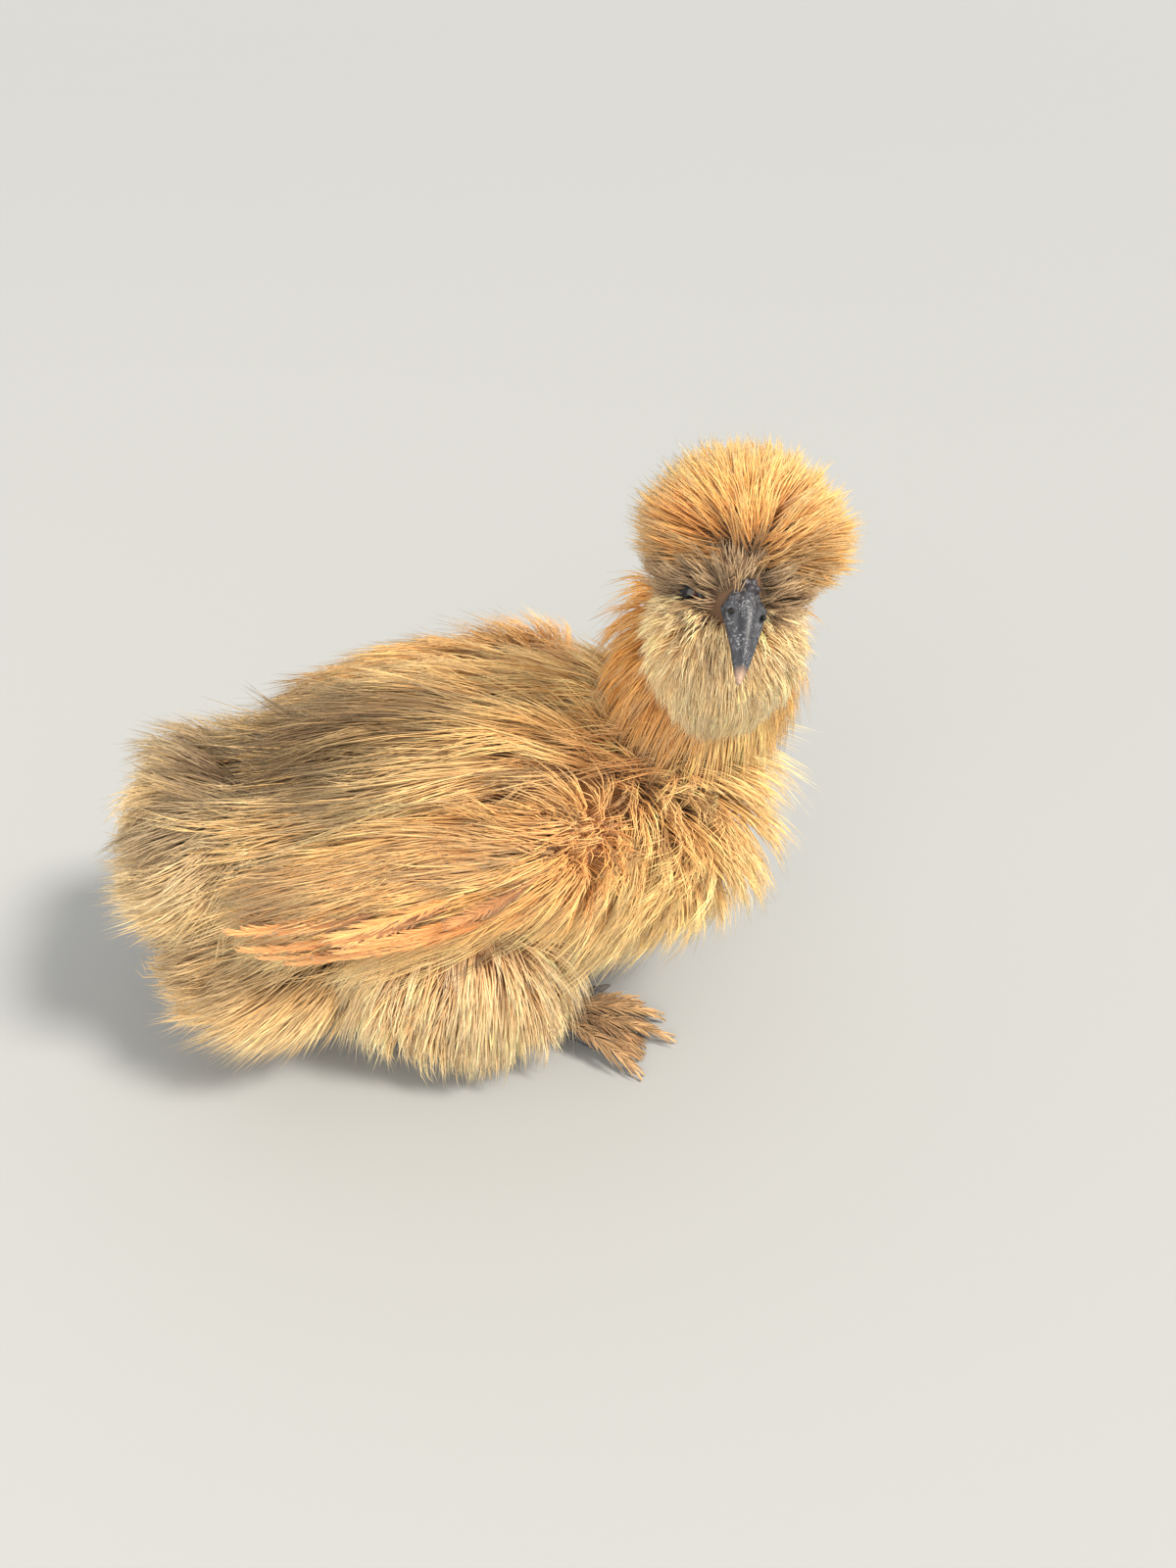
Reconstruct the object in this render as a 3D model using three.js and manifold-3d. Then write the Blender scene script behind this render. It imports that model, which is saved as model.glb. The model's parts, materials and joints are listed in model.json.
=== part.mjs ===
// A bearded silkie hen at life size: its head turned a quarter to its right, its coat loose to the floor.
// Millimetres. +X is the way the body faces, +Y its left, +Z up, with the floor at zero.
import * as THREE from 'three';
import { mergeVertices } from 'three/addons/utils/BufferGeometryUtils.js';
import Module from 'manifold-3d';

const wasm = await Module();
wasm.setup();

// Driving dimensions
const GAP = 0.35;
const WELD = 0.13;
const CORE_SIDES = 12;
const CORE_RINGS = 7;
const FLOOR_REACH = 600;

const TORSO = {
  from: [99, 0, 94], via: [-20, 0, 98], to: [-158, 0, 68],
  up: 57, down: 71, side: 74, blunt: [0.42, 0.6],
};
const RUMP = {
  from: [-44, 0, 56], via: [-104, 0, 54], to: [-162, 0, 50],
  up: 46, down: 46, side: 72, blunt: [0.55, 0.5],
};
const NECK = {
  from: [44, 0, 94], via: [50, -6, 142], to: [58, -24, 206],
  up: 41, down: 42, side: 40, blunt: [0.42, 0.6],
};
const CREST = {
  from: [53, -57, 198], via: [59, -24, 208], to: [63, 14, 198],
  up: 31, down: 24, side: 38.5, blunt: [2.4, 0.55],
};
const BEARD = {
  from: [52, -30, 204], via: [50, -40, 178], to: [46, -44, 141],
  up: 24, down: 22, side: 29, blunt: [0.7, 1.6],
};
const SKULL = { at: [51, -32, 192], half: [13.5, 20, 16] };
const TAIL = {
  from: [-88, 0, 88], via: [-128, 0, 96], to: [-162, 0, 82],
  up: 34, down: 42, side: 58, blunt: [0.55, 0.55],
};
const WING = {
  from: [40, 46, 112], via: [-30, 54, 114], to: [-122, 48, 90],
  up: 25, down: 33, side: 29, blunt: [0.55, 0.7],
};
const THIGH = {
  from: [-34, 38, 98], via: [-38, 43, 50], to: [-42, 43, 1.6],
  up: 50, down: 60, side: 33, blunt: [0.5, 0.36],
};

// Share of each outline that its core fills, and the locks in rows along it.
// A lock runs on by `run` of the outline's length and turns by `twist` about its axis.
const TORSO_LOCKS = {
  core: 0.78, rows: 6, from: 0.03, to: 0.8, spacing: 50, run: 0.18, twist: 0.1, wide: 30, thick: 7,
};
const RUMP_LOCKS = {
  core: 0.76, rows: 3, from: 0.44, to: 0.8, spacing: 50, run: 0.18, twist: 0.05, wide: 28, thick: 7,
};
const NECK_LOCKS = {
  core: 0.72, rows: 3, from: 0.8, to: 0.4, spacing: 36, run: -0.24, twist: 0.12, wide: 23, thick: 6,
};
const CREST_LOCKS = {
  core: 0.72, rows: 4, from: 0.2, to: 0.76, spacing: 31, run: 0.13, twist: 0.1, wide: 21, thick: 6,
};
const BEARD_LOCKS = {
  core: 0.7, rows: 3, from: 0.2, to: 0.7, spacing: 26, run: 0.22, twist: 0.08, wide: 16, thick: 4.5,
};
const TAIL_LOCKS = {
  core: 0.76, rows: 3, from: 0.26, to: 0.74, spacing: 50, run: 0.2, twist: 0.08, wide: 30, thick: 7,
};
const WING_LOCKS = {
  core: 0.78, rows: 3, from: 0.12, to: 0.6, spacing: 45, run: 0.24, twist: 0.06, wide: 25, thick: 5.5,
};
const QUILLS = { count: 6, from: 0.3, to: 0.74, angle: 2.35, run: 0.17, twist: -0.3, wide: 8, thick: 1.6 };
const THIGH_LOCKS = {
  core: 0.78, rows: 3, from: 0.36, to: 0.74, spacing: 52, run: 0.22, twist: 0.08, wide: 28, thick: 6,
};
const OUTLINE = 1.03;
const LOCK_SINK = 0.12;
const COVER = 0.9;
const LOCK_SEED = 20251;
const FOOT_VANES = { count: 5, length: 50, wide: 6.5, thick: 1.4, spread: 46, turn: -14, height: 10 };

const EYE_RADIUS = 5;
const EYE_APART = 11;
const EYE_AT = [49.9, -36.3, 192.6];
const HEAD_ROLL = THREE.MathUtils.degToRad(10);
const HEAD_TURN = THREE.MathUtils.degToRad(5);
const LID_RADIUS = 4.6;
const LID_TUBE = 1.3;

const BEAK_BASE = [52, -49, 197.5];
const BEAK_TIP = [46.4, -72, 184.4];
const BEAK_WIDE = 8.2;
const BEAK_HIGH = 7;
const BEAK_LOWER_HIGH = 3.8;
const NOSTRIL = 1.3;
const COMB_BULB = 2.8;
const COMB_AT = [53.4, -51.5, 203.6];

const FOOT_X = { right: -12, left: -32 };
const FOOT_Y = 39;
const SHANK_RADIUS = 4.3;
const SHANK_TOP = [-12, 0, 44];
const ANKLE_HEIGHT = 10;
const PAD_HALF = [8, 7, 6];
const PAD_SINK = 1.2;
const TOE_RADIUS = 3.4;
const TOES = [
  { name: 'inner', turn: 32, length: 27, rise: 0 },
  { name: 'middle', turn: 2, length: 36, rise: 0 },
  { name: 'outer', turn: -28, length: 29, rise: 0 },
  { name: 'hind', turn: 162, length: 24, rise: 0 },
  { name: 'fifth', turn: 128, length: 19, rise: 9 },
];
const CLAW_LENGTH = 8;
const CLAW_RADIUS = 2;

// Colours
const finish = (color, roughness = 0.9) => new THREE.MeshStandardMaterial({ color, roughness, metalness: 0 });
const BUFF = finish('#d9a860');
const GOLD = finish('#e0a04a');
const CREAM = finish('#e3c796');
const STRAW = finish('#c9ab7c');
const SLATE = finish('#35363c', 0.55);
const PUPIL = finish('#120d0b', 0.15);
const HORN = finish('#8c8378', 0.5);

// Small helpers
const vec = (p) => new THREE.Vector3(...p);
const UP = new THREE.Vector3(0, 0, 1);
const mirrored = (p) => [p[0], -p[1], p[2]];
const range = (count) => Array.from({ length: count }, (_, i) => i);
const mix = (a, b, share) => a + (b - a) * share;

let drawn = LOCK_SEED;
/** A repeatable draw from -1 to 1. */
function draw() {
  drawn = (drawn * 16807) % 2147483647;
  return (2 * drawn) / 2147483647 - 1;
}

/** A closed body from rings of points, ended by one point at each side. */
function loft(rings, first, last) {
  const sides = rings[0].length;
  const points = [first, ...rings.flat(), last];
  const at = (ring, side) => 1 + ring * sides + (side % sides);
  const faces = [];
  for (const side of range(sides)) {
    faces.push([0, at(0, side + 1), at(0, side)]);
    faces.push([points.length - 1, at(rings.length - 1, side), at(rings.length - 1, side + 1)]);
    for (const ring of range(rings.length - 1)) {
      const [a, b] = [at(ring, side), at(ring, side + 1)];
      const [c, d] = [at(ring + 1, side), at(ring + 1, side + 1)];
      faces.push([a, b, d], [a, d, c]);
    }
  }
  const volume = faces.reduce(
    (sum, [a, b, c]) => sum + points[a].dot(new THREE.Vector3().crossVectors(points[b], points[c])), 0);
  const geometry = new THREE.BufferGeometry().setFromPoints(points);
  geometry.setIndex((volume < 0 ? faces.map(([a, b, c]) => [a, c, b]) : faces).flat());
  return geometry;
}

/** The solid of a closed geometry. */
function solid(geometry) {
  geometry.deleteAttribute('normal');
  geometry.deleteAttribute('uv');
  const merged = mergeVertices(geometry, 1e-4);
  return new wasm.Manifold(new wasm.Mesh({
    numProp: 3,
    vertProperties: new Float32Array(merged.attributes.position.array),
    triVerts: new Uint32Array(merged.index.array),
  }));
}

const join = (solids) => solids.reduce((all, one) => all.add(one));
const cut = (body, tools) => tools.reduce((rest, tool) => rest.subtract(tool), body);

/** The named mesh of a solid: its largest closed surface only. */
function mesh(name, body, material) {
  const largest = body.simplify(WELD).decompose().reduce((a, b) => (a.volume() > b.volume() ? a : b));
  const { vertProperties, triVerts } = largest.getMesh();
  const geometry = new THREE.BufferGeometry();
  geometry.setAttribute('position', new THREE.BufferAttribute(vertProperties, 3));
  geometry.setIndex(new THREE.BufferAttribute(triVerts, 1));
  const made = new THREE.Mesh(geometry, material);
  made.name = name;
  return made;
}

/** An egg about a bent axis: the outline of a part of the coat out to its tips. */
class Egg {
  constructor({ from, via, to, up, down, side, blunt }, upward = [0, 0, 1]) {
    this.axis = new THREE.QuadraticBezierCurve3(vec(from), vec(via), vec(to));
    this.upward = vec(upward);
    this.reach = { up, down, side };
    this.blunt = blunt;
  }

  /** The point at length u (0 to 1), angle v about the axis, and share of the full size, plus a margin. */
  point(u, v, share = 1, margin = 0) {
    const along = (1 - Math.cos(Math.PI * u)) / 2;
    const chord = this.axis.getPoint(0).distanceTo(this.axis.getPoint(1));
    const t = 0.5 + (along - 0.5) * (share + (2 * margin) / chord);
    const centre = this.axis.getPoint(Math.min(1, Math.max(0, t)));
    const ahead = this.axis.getTangent(Math.min(1, Math.max(0, t)));
    centre.addScaledVector(ahead, (t - Math.min(1, Math.max(0, t))) * chord);
    const across = new THREE.Vector3().crossVectors(this.upward, ahead).normalize();
    const above = new THREE.Vector3().crossVectors(ahead, across);
    const full = Math.sin(Math.PI * u) ** this.blunt[u < 0.5 ? 0 : 1];
    const tall = Math.cos(v) > 0 ? this.reach.up : this.reach.down;
    return centre
      .addScaledVector(above, full * (tall * share + margin) * Math.cos(v))
      .addScaledVector(across, full * (this.reach.side * share + margin) * Math.sin(v));
  }

  /** Whether a point lies in a share of the egg. */
  holds(place, share = 1) {
    const steps = 24;
    const spots = range(steps + 1).map((k) => this.axis.getPoint(k / steps));
    const near = spots.reduce((best, spot, k) => (
      spot.distanceToSquared(place) < spots[best].distanceToSquared(place) ? k : best), 0);
    const t = near / steps;
    const u = Math.acos(1 - 2 * Math.min(0.999, Math.max(0.001, (t - 0.5) / share + 0.5))) / Math.PI;
    const ahead = this.axis.getTangent(t);
    const across = new THREE.Vector3().crossVectors(this.upward, ahead).normalize();
    const above = new THREE.Vector3().crossVectors(ahead, across);
    const off = place.clone().sub(spots[near]);
    if (near === 0 || near === steps) return off.length() < 1;
    const full = share * Math.sin(Math.PI * u) ** this.blunt[u < 0.5 ? 0 : 1];
    const tall = off.dot(above) > 0 ? this.reach.up : this.reach.down;
    return Math.hypot(off.dot(above) / tall, off.dot(across) / this.reach.side) < full;
  }

  /** One flat, tapered lock that bends from a sunk root at (u, v) out to the egg's surface. */
  lock(u, v, { core, run, twist, wide, thick }, tipShare = 0.97) {
    const root = core - LOCK_SINK;
    const spot = (s) => {
      const share = mix(root, tipShare, s ** 0.8);
      return [Math.min(0.985, Math.max(0.015, u + run * s)), v + twist * s * s, share];
    };
    const spine = (s) => this.point(...spot(s));
    const ring = (s, broad, deep) => {
      const [a, b, share] = spot(s);
      const out = this.point(a, b, share + 0.05).sub(this.point(a, b, share - 0.05)).normalize();
      const ahead = spine(s + 0.02).sub(spine(s - 0.02)).normalize();
      const across = new THREE.Vector3().crossVectors(out, ahead).normalize();
      const up = new THREE.Vector3().crossVectors(ahead, across).normalize();
      const centre = spine(s);
      return [[across, broad], [up, deep], [across, -broad], [up, -deep]]
        .map(([way, size]) => centre.clone().addScaledVector(way, size / 2));
    };
    const rings = [ring(0.04, wide * 0.7, thick), ring(0.45, wide, thick * 0.8), ring(0.8, wide * 0.62, thick * 0.45)];
    return solid(loft(rings, spine(0), spine(1)));
  }

  /** Rows of locks over the part of the egg that no other outline covers. */
  coat(settings, others, keeps = () => true) {
    const { core, rows, from, to, spacing, run } = settings;
    return range(rows).flatMap((row) => {
      const u = mix(from, to, row / (rows - 1));
      const middle = Math.min(0.97, Math.max(0.03, u + run / 2));
      const girth = range(12).reduce((sum, k) => sum
        + this.point(middle, (Math.PI * k) / 6).distanceTo(this.point(middle, (Math.PI * (k + 1)) / 6)), 0);
      const count = Math.max(3, Math.round(girth / spacing));
      return range(count).map((k) => {
        const v = (2 * Math.PI * (k + (row % 2) / 2 + 0.18 * draw())) / count;
        const start = u + 0.02 * draw();
        const shape = { ...settings, run: run * (1 + 0.16 * draw()), twist: settings.twist * (1 + draw()) };
        const seen = [0.55, 1].map((s) => this.point(start + shape.run * s, v, mix(core, 0.97, s)));
        if (!keeps(v, start) || others.some((egg) => seen.every((place) => egg.holds(place, COVER)))) return null;
        return this.lock(start, v, shape, 0.94 + 0.03 * draw());
      }).filter(Boolean);
    });
  }

  /** The closed body of a share of the egg. */
  body(share = OUTLINE, margin = 0, rings = CORE_RINGS, sides = CORE_SIDES) {
    const around = (u) => range(sides).map((k) => this.point(u, (2 * Math.PI * k) / sides, share, margin));
    const rows = range(rings).map((k) => around((k + 1) / (rings + 1)));
    return solid(loft(rows, this.point(0, 0, share, margin), this.point(1, 0, share, margin)));
  }
}

/** A ball squeezed to half sizes at a place. */
function ball(at, half, detail = 12) {
  const geometry = new THREE.SphereGeometry(1, detail, Math.round(detail * 0.7));
  geometry.scale(...half);
  geometry.translate(...at);
  return solid(geometry);
}

/** A tapered round limb through points, with a radius at each. */
function limb(points, radii, sides = 8, steps = 6) {
  const path = new THREE.CatmullRomCurve3(points.map(vec));
  const ring = (t) => {
    const ahead = path.getTangent(t);
    const across = new THREE.Vector3(0.02, 0.03, 1).cross(ahead).normalize();
    const above = new THREE.Vector3().crossVectors(ahead, across);
    const spot = t * (radii.length - 1);
    const low = Math.min(Math.floor(spot), radii.length - 2);
    const radius = mix(radii[low], radii[low + 1], spot - low);
    return range(sides).map((k) => path.getPoint(t)
      .addScaledVector(across, radius * Math.cos((2 * Math.PI * k) / sides))
      .addScaledVector(above, radius * Math.sin((2 * Math.PI * k) / sides)));
  };
  const rings = range(steps + 1).map((k) => ring(k / steps));
  return solid(loft(rings, path.getPoint(0), path.getPoint(1)));
}

// Coat outlines
const torsoCoat = new Egg(TORSO);
const neckCoat = new Egg(NECK, [1, 0, 0]);
const crestCoat = new Egg(CREST, [Math.sin(HEAD_ROLL), 0.2, Math.cos(HEAD_ROLL)]);
const beardCoat = new Egg(BEARD, [0, -1, 0]);
const rumpCoat = new Egg(RUMP);
const tailCoat = new Egg(TAIL);
const sideEgg = (size, side, upward) => new Egg(
  side === 'left' ? size : { ...size, from: mirrored(size.from), via: mirrored(size.via), to: mirrored(size.to) },
  upward);
const wingCoat = { left: sideEgg(WING, 'left'), right: sideEgg(WING, 'right') };
const thighCoat = { left: sideEgg(THIGH, 'left', [1, 0, 0]), right: sideEgg(THIGH, 'right', [1, 0, 0]) };
const SIDES = ['left', 'right'];
const signOf = (side) => (side === 'left' ? 1 : -1);

// Head
const headAcross = new THREE.Vector3(Math.cos(HEAD_ROLL), Math.sin(HEAD_TURN), -Math.sin(HEAD_ROLL)).normalize();
// The head faces the bird's right, so its own left eye is on the +X side.
const eyeAt = (side) => vec(EYE_AT).addScaledVector(headAcross, signOf(side) * EYE_APART);

/** The way an eye looks out: sideways with a little forward. */
const gaze = (side) => headAcross.clone().multiplyScalar(signOf(side)).add(new THREE.Vector3(0, -0.75, 0.1)).normalize();

function eyeBall(side, margin = 0) {
  const radius = EYE_RADIUS + margin;
  return ball(eyeAt(side).toArray(), [radius, radius, radius]);
}

/** The hollow that the face feathers leave in front of an eye. */
function eyeHollow(side) {
  const start = eyeAt(side);
  const end = start.clone().addScaledVector(gaze(side), 24);
  return limb([start.toArray(), start.clone().lerp(end, 0.5).toArray(), end.toArray()], [3.4, 9, 15], 10, 4);
}

/** The lids: a ring round the eye, narrowed from above and below. */
function lids(side) {
  const geometry = new THREE.TorusGeometry(LID_RADIUS, LID_TUBE, 5, 10);
  geometry.scale(1, 0.72, 1);
  const look = gaze(side);
  geometry.applyQuaternion(new THREE.Quaternion().setFromUnitVectors(new THREE.Vector3(0, 0, 1), look));
  geometry.translate(...eyeAt(side).addScaledVector(look, 2.2).toArray());
  return solid(geometry);
}

/** One half of the beak: a tapered, down-bent body with a flat mouth face. */
function beakHalf(high, long, droop, margin = 0) {
  const [base, tip] = [vec(BEAK_BASE), vec(BEAK_TIP)];
  const ahead = tip.clone().sub(base).normalize();
  const across = headAcross.clone().addScaledVector(ahead, -headAcross.dot(ahead)).normalize();
  const above = new THREE.Vector3().crossVectors(across, ahead).normalize();
  if (above.z < 0) above.negate();
  const length = base.distanceTo(tip) * long;
  const ring = (t) => {
    const size = (1 - t) ** 0.62;
    const centre = base.clone().addScaledVector(ahead, length * t - (t === 0 ? margin : 0))
      .addScaledVector(above, -droop * t * t);
    const half = BEAK_WIDE * size + margin + 0.25;
    const rise = high * size + Math.sign(high) * 2 * margin;
    return range(9).map((k) => {
      const turn = (Math.PI * k) / 8;
      return centre.clone().addScaledVector(across, half * Math.cos(turn))
        .addScaledVector(above, rise * Math.sin(turn) - Math.sign(high) * (margin - 0.15));
    });
  };
  const rings = [0, 0.2, 0.4, 0.6, 0.8, 0.94].map(ring);
  const middle = (row) => row.reduce((sum, p) => sum.add(p), new THREE.Vector3()).divideScalar(row.length);
  const end = middle(rings.at(-1)).addScaledVector(ahead, length * 0.06 + margin).addScaledVector(above, -0.5);
  return solid(loft(rings, middle(rings[0]), end));
}

function upperBeak() {
  const ahead = vec(BEAK_TIP).sub(vec(BEAK_BASE)).normalize();
  const pit = (sign) => {
    const at = vec(BEAK_BASE).addScaledVector(ahead, 9).addScaledVector(headAcross, sign * 4.4);
    at.z += 3.4;
    return ball(at.toArray(), [NOSTRIL, NOSTRIL * 1.6, NOSTRIL], 8);
  };
  return cut(beakHalf(BEAK_HIGH, 1, 1.5), [pit(1), pit(-1)]);
}

/** The small walnut comb: bulbs set close over the base of the beak. */
function comb(margin = 0) {
  const spots = [[0, 0, 0], [-2.6, 1.4, -0.8], [2.7, 1.2, -1.2], [-1.4, 3.6, 1.4], [1.8, 3.4, 1], [0.2, -1.6, -2.4]];
  return join(spots.map(([x, y, z], k) => {
    const radius = COMB_BULB * (1 - 0.06 * k) + margin;
    return ball([COMB_AT[0] + x, COMB_AT[1] + y, COMB_AT[2] + z], [radius, radius, radius], 6);
  }));
}

const beaks = { upper: upperBeak(), lower: beakHalf(-BEAK_LOWER_HIGH, 0.86, 1.2) };
const beakRoom = [beakHalf(BEAK_HIGH, 1, 1.5, GAP), beakHalf(-BEAK_LOWER_HIGH, 0.86, 1.2, GAP)];
const skull = (margin = 0) => ball(SKULL.at, SKULL.half.map((half) => half + margin), 12);

const headOutline = join([crestCoat.body(), beardCoat.body()]);
const headRoom = join([crestCoat.body(OUTLINE, GAP), beardCoat.body(OUTLINE, GAP)]);
const neckRoom = neckCoat.body(OUTLINE, GAP);
const neckCore = neckCoat.body(NECK_LOCKS.core);
const torsoCore = join([torsoCoat.body(TORSO_LOCKS.core), rumpCoat.body(RUMP_LOCKS.core)]);

function head() {
  const cores = [crestCoat.body(CREST_LOCKS.core), beardCoat.body(BEARD_LOCKS.core), skull(), neckCore];
  const locks = [...crestCoat.coat(CREST_LOCKS, [beardCoat, neckCoat]), ...beardCoat.coat(BEARD_LOCKS, [neckCoat, crestCoat])];
  const coat = cut(join([...cores, ...locks]).intersect(headOutline), SIDES.map(eyeHollow));
  const faced = join([coat, ...SIDES.map(lids)]);
  return cut(faced, [...SIDES.map((side) => eyeBall(side, GAP)), ...beakRoom, comb(GAP)]);
}

/** The torso's core with its locks, before what borders it is cut clear. */
const torsoGrown = join([
  torsoCore,
  ...torsoCoat.coat(TORSO_LOCKS, [neckCoat, tailCoat, rumpCoat, ...SIDES.flatMap((side) => [wingCoat[side], thighCoat[side]])]),
  ...rumpCoat.coat(RUMP_LOCKS, [tailCoat, torsoCoat, ...SIDES.map((side) => thighCoat[side])]),
]);

function neck() {
  const locks = neckCoat.coat(NECK_LOCKS, [crestCoat, beardCoat, torsoCoat]);
  const grown = join([neckCore, ...locks, torsoGrown]).intersect(neckCoat.body());
  return cut(grown, [headRoom]);
}

function tail() {
  const locks = tailCoat.coat(TAIL_LOCKS, [torsoCoat, wingCoat.left, wingCoat.right]);
  const grown = join([tailCoat.body(TAIL_LOCKS.core), ...locks, torsoGrown]).intersect(tailCoat.body());
  return cut(grown, SIDES.map((side) => wingCoat[side].body(OUTLINE, GAP)));
}

function wing(side) {
  const coat = wingCoat[side];
  const outward = side === 'right' ? 0 : Math.PI;
  const outer = (v) => Math.sin(v - outward) > -0.25;
  const locks = coat.coat(WING_LOCKS, [neckCoat], outer);
  const quills = range(QUILLS.count).map((k) => {
    const u = mix(QUILLS.from, QUILLS.to, k / (QUILLS.count - 1));
    const turn = side === 'right' ? 1 : -1;
    return coat.lock(u, turn * (QUILLS.angle + 0.1 * draw()), {
      ...QUILLS, core: WING_LOCKS.core, run: QUILLS.run * (1 + 0.15 * draw()), twist: -turn * QUILLS.twist,
    }, 0.97);
  });
  const grown = join([coat.body(WING_LOCKS.core), ...locks, ...quills, torsoGrown]).intersect(coat.body());
  return cut(grown, [headRoom, neckRoom]);
}

// Legs
const footCentre = (side) => [FOOT_X[side], signOf(side) * FOOT_Y, ANKLE_HEIGHT];
const above = solid(new THREE.BoxGeometry(FLOOR_REACH, FLOOR_REACH, FLOOR_REACH).translate(0, 0, FLOOR_REACH / 2));

/** Where a toe runs: from the ankle out along the floor, or lifted. */
function toeLine(side, { turn, length, rise }) {
  const angle = THREE.MathUtils.degToRad(turn * -signOf(side));
  const [x, y] = footCentre(side);
  const spot = (far, z) => [x + far * Math.cos(angle), y + far * Math.sin(angle), z];
  const low = TOE_RADIUS - 0.5;
  return [spot(0, ANKLE_HEIGHT - 3), spot(length * 0.35, low + 2.5 + rise * 0.3), spot(length * 0.75, low + rise * 0.7),
    spot(length, low + rise)];
}

const toe = (side, shape) => limb(
  toeLine(side, shape), [TOE_RADIUS * 1.25, TOE_RADIUS * 1.05, TOE_RADIUS, TOE_RADIUS * 0.85], 6, 3);

/** A claw, bent down from the end of its toe and just clear of the floor. */
function claw(side, shape, margin = 0) {
  const line = toeLine(side, shape).map(vec);
  const ahead = line[3].clone().sub(line[2]).setZ(0).normalize();
  const root = line[3].clone().addScaledVector(ahead, -1.2 - margin);
  const bend = root.clone().addScaledVector(ahead, CLAW_LENGTH * 0.55).add(new THREE.Vector3(0, 0, 0.6));
  const tip = root.clone().addScaledVector(ahead, CLAW_LENGTH).add(new THREE.Vector3(0, 0, -1.6));
  return limb([root.toArray(), bend.toArray(), tip.toArray()], [CLAW_RADIUS + margin, CLAW_RADIUS * 0.75 + margin, 0.35 + margin], 5, 3);
}

function shank(side, margin = 0) {
  const [x, y] = footCentre(side);
  const top = [x + SHANK_TOP[0], y, SHANK_TOP[2]];
  const radius = SHANK_RADIUS + margin;
  return limb([[x, y, ANKLE_HEIGHT + 2 - margin], [mix(x, top[0], 0.5), y, 26], top], [radius * 1.1, radius, radius * 1.2], 10, 4);
}

/** The fan of feathers on the outer side of a foot, clear of the floor. */
function footVanes(side) {
  const { count, length, wide, thick, spread, turn, height } = FOOT_VANES;
  const [x, y] = footCentre(side);
  return range(count).map((k) => {
    const angle = THREE.MathUtils.degToRad((turn + spread * (0.5 - k / (count - 1))) * -signOf(side));
    const ahead = new THREE.Vector3(Math.cos(angle), Math.sin(angle), 0);
    const across = new THREE.Vector3(-ahead.y, ahead.x, 0);
    const far = length * (1 + 0.12 * draw());
    const spine = (s) => new THREE.Vector3(x, y, height + 3 * Math.sin(Math.PI * s) - 6 * s * s)
      .addScaledVector(ahead, far * s);
    const ring = (s, broad, deep) => [[across, broad], [UP, deep], [across, -broad], [UP, -deep]]
      .map(([way, size]) => spine(s).addScaledVector(way, size / 2));
    return solid(loft([ring(0.05, wide * 0.6, thick * 1.6), ring(0.45, wide, thick), ring(0.75, wide * 0.8, thick * 0.8)],
      spine(0), spine(1)));
  });
}

function foot(side) {
  const [x, y] = footCentre(side);
  const pad = ball([x, y, PAD_HALF[2] - PAD_SINK], PAD_HALF, 8);
  const toes = join([pad, ...TOES.map((shape) => toe(side, shape)), ...footVanes(side)]).intersect(above);
  return cut(toes, [shank(side, GAP), ...TOES.map((shape) => claw(side, shape, GAP))]);
}

/** The room kept in the thigh's fluff for the foot under it. */
const footRoom = (side) => {
  const [x, y] = footCentre(side);
  return ball([x + 6, y, 2], [46, 30, 20], 16);
};

function thigh(side) {
  const coat = thighCoat[side];
  const outward = side === 'right' ? -1 : 1;
  const outer = (v) => Math.sin(v) * outward > -0.75;
  const locks = coat.coat(THIGH_LOCKS, [wingCoat[side], torsoCoat], outer);
  const grown = join([coat.body(THIGH_LOCKS.core), ...locks, torsoGrown]).intersect(coat.body());
  return cut(grown, [shank(side, GAP), footRoom(side), wingCoat[side].body(OUTLINE, GAP)]);
}

function torso() {
  const tools = SIDES.flatMap((side) => [
    wingCoat[side].body(OUTLINE, GAP), thighCoat[side].body(OUTLINE, GAP), shank(side, GAP), footRoom(side)]);
  return cut(torsoGrown, [headRoom, neckRoom, tailCoat.body(OUTLINE, GAP), ...tools]);
}

// Assembly
const model = new THREE.Group();
model.add(mesh('head', head(), GOLD));
model.add(mesh('upper_beak', beaks.upper, SLATE));
model.add(mesh('lower_beak', beaks.lower, SLATE));
model.add(mesh('comb', cut(comb(), beakRoom), SLATE));
model.add(mesh('neck', neck(), BUFF));
model.add(mesh('torso', torso(), BUFF));
model.add(mesh('tail', tail(), STRAW));
for (const side of SIDES) {
  model.add(mesh(`${side}_eye`, eyeBall(side), PUPIL));
  model.add(mesh(`${side}_wing`, wing(side), STRAW));
  model.add(mesh(`${side}_thigh`, thigh(side), CREAM));
  model.add(mesh(`${side}_shank`, shank(side), SLATE));
  model.add(mesh(`${side}_foot`, foot(side), SLATE));
  for (const shape of TOES) {
    model.add(mesh(`${side}_${shape.name}_claw`, claw(side, shape), HORN));
  }
}

// The middle of the floor under the bird is the origin.
const bounds = new THREE.Box3().setFromObject(model);
const middle = bounds.getCenter(new THREE.Vector3());
model.position.set(-middle.x, -middle.y, -bounds.min.z);

export default model;
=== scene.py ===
"""A bearded silkie hen at life size: one skin, a loose coat of down, bare beak, comb, eyes and feet."""

from __future__ import annotations

import json
import logging
import math
from dataclasses import dataclass, field, replace
from enum import Enum
from typing import Sequence

import bpy
import numpy as np
from mathutils import Matrix, Vector

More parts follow.
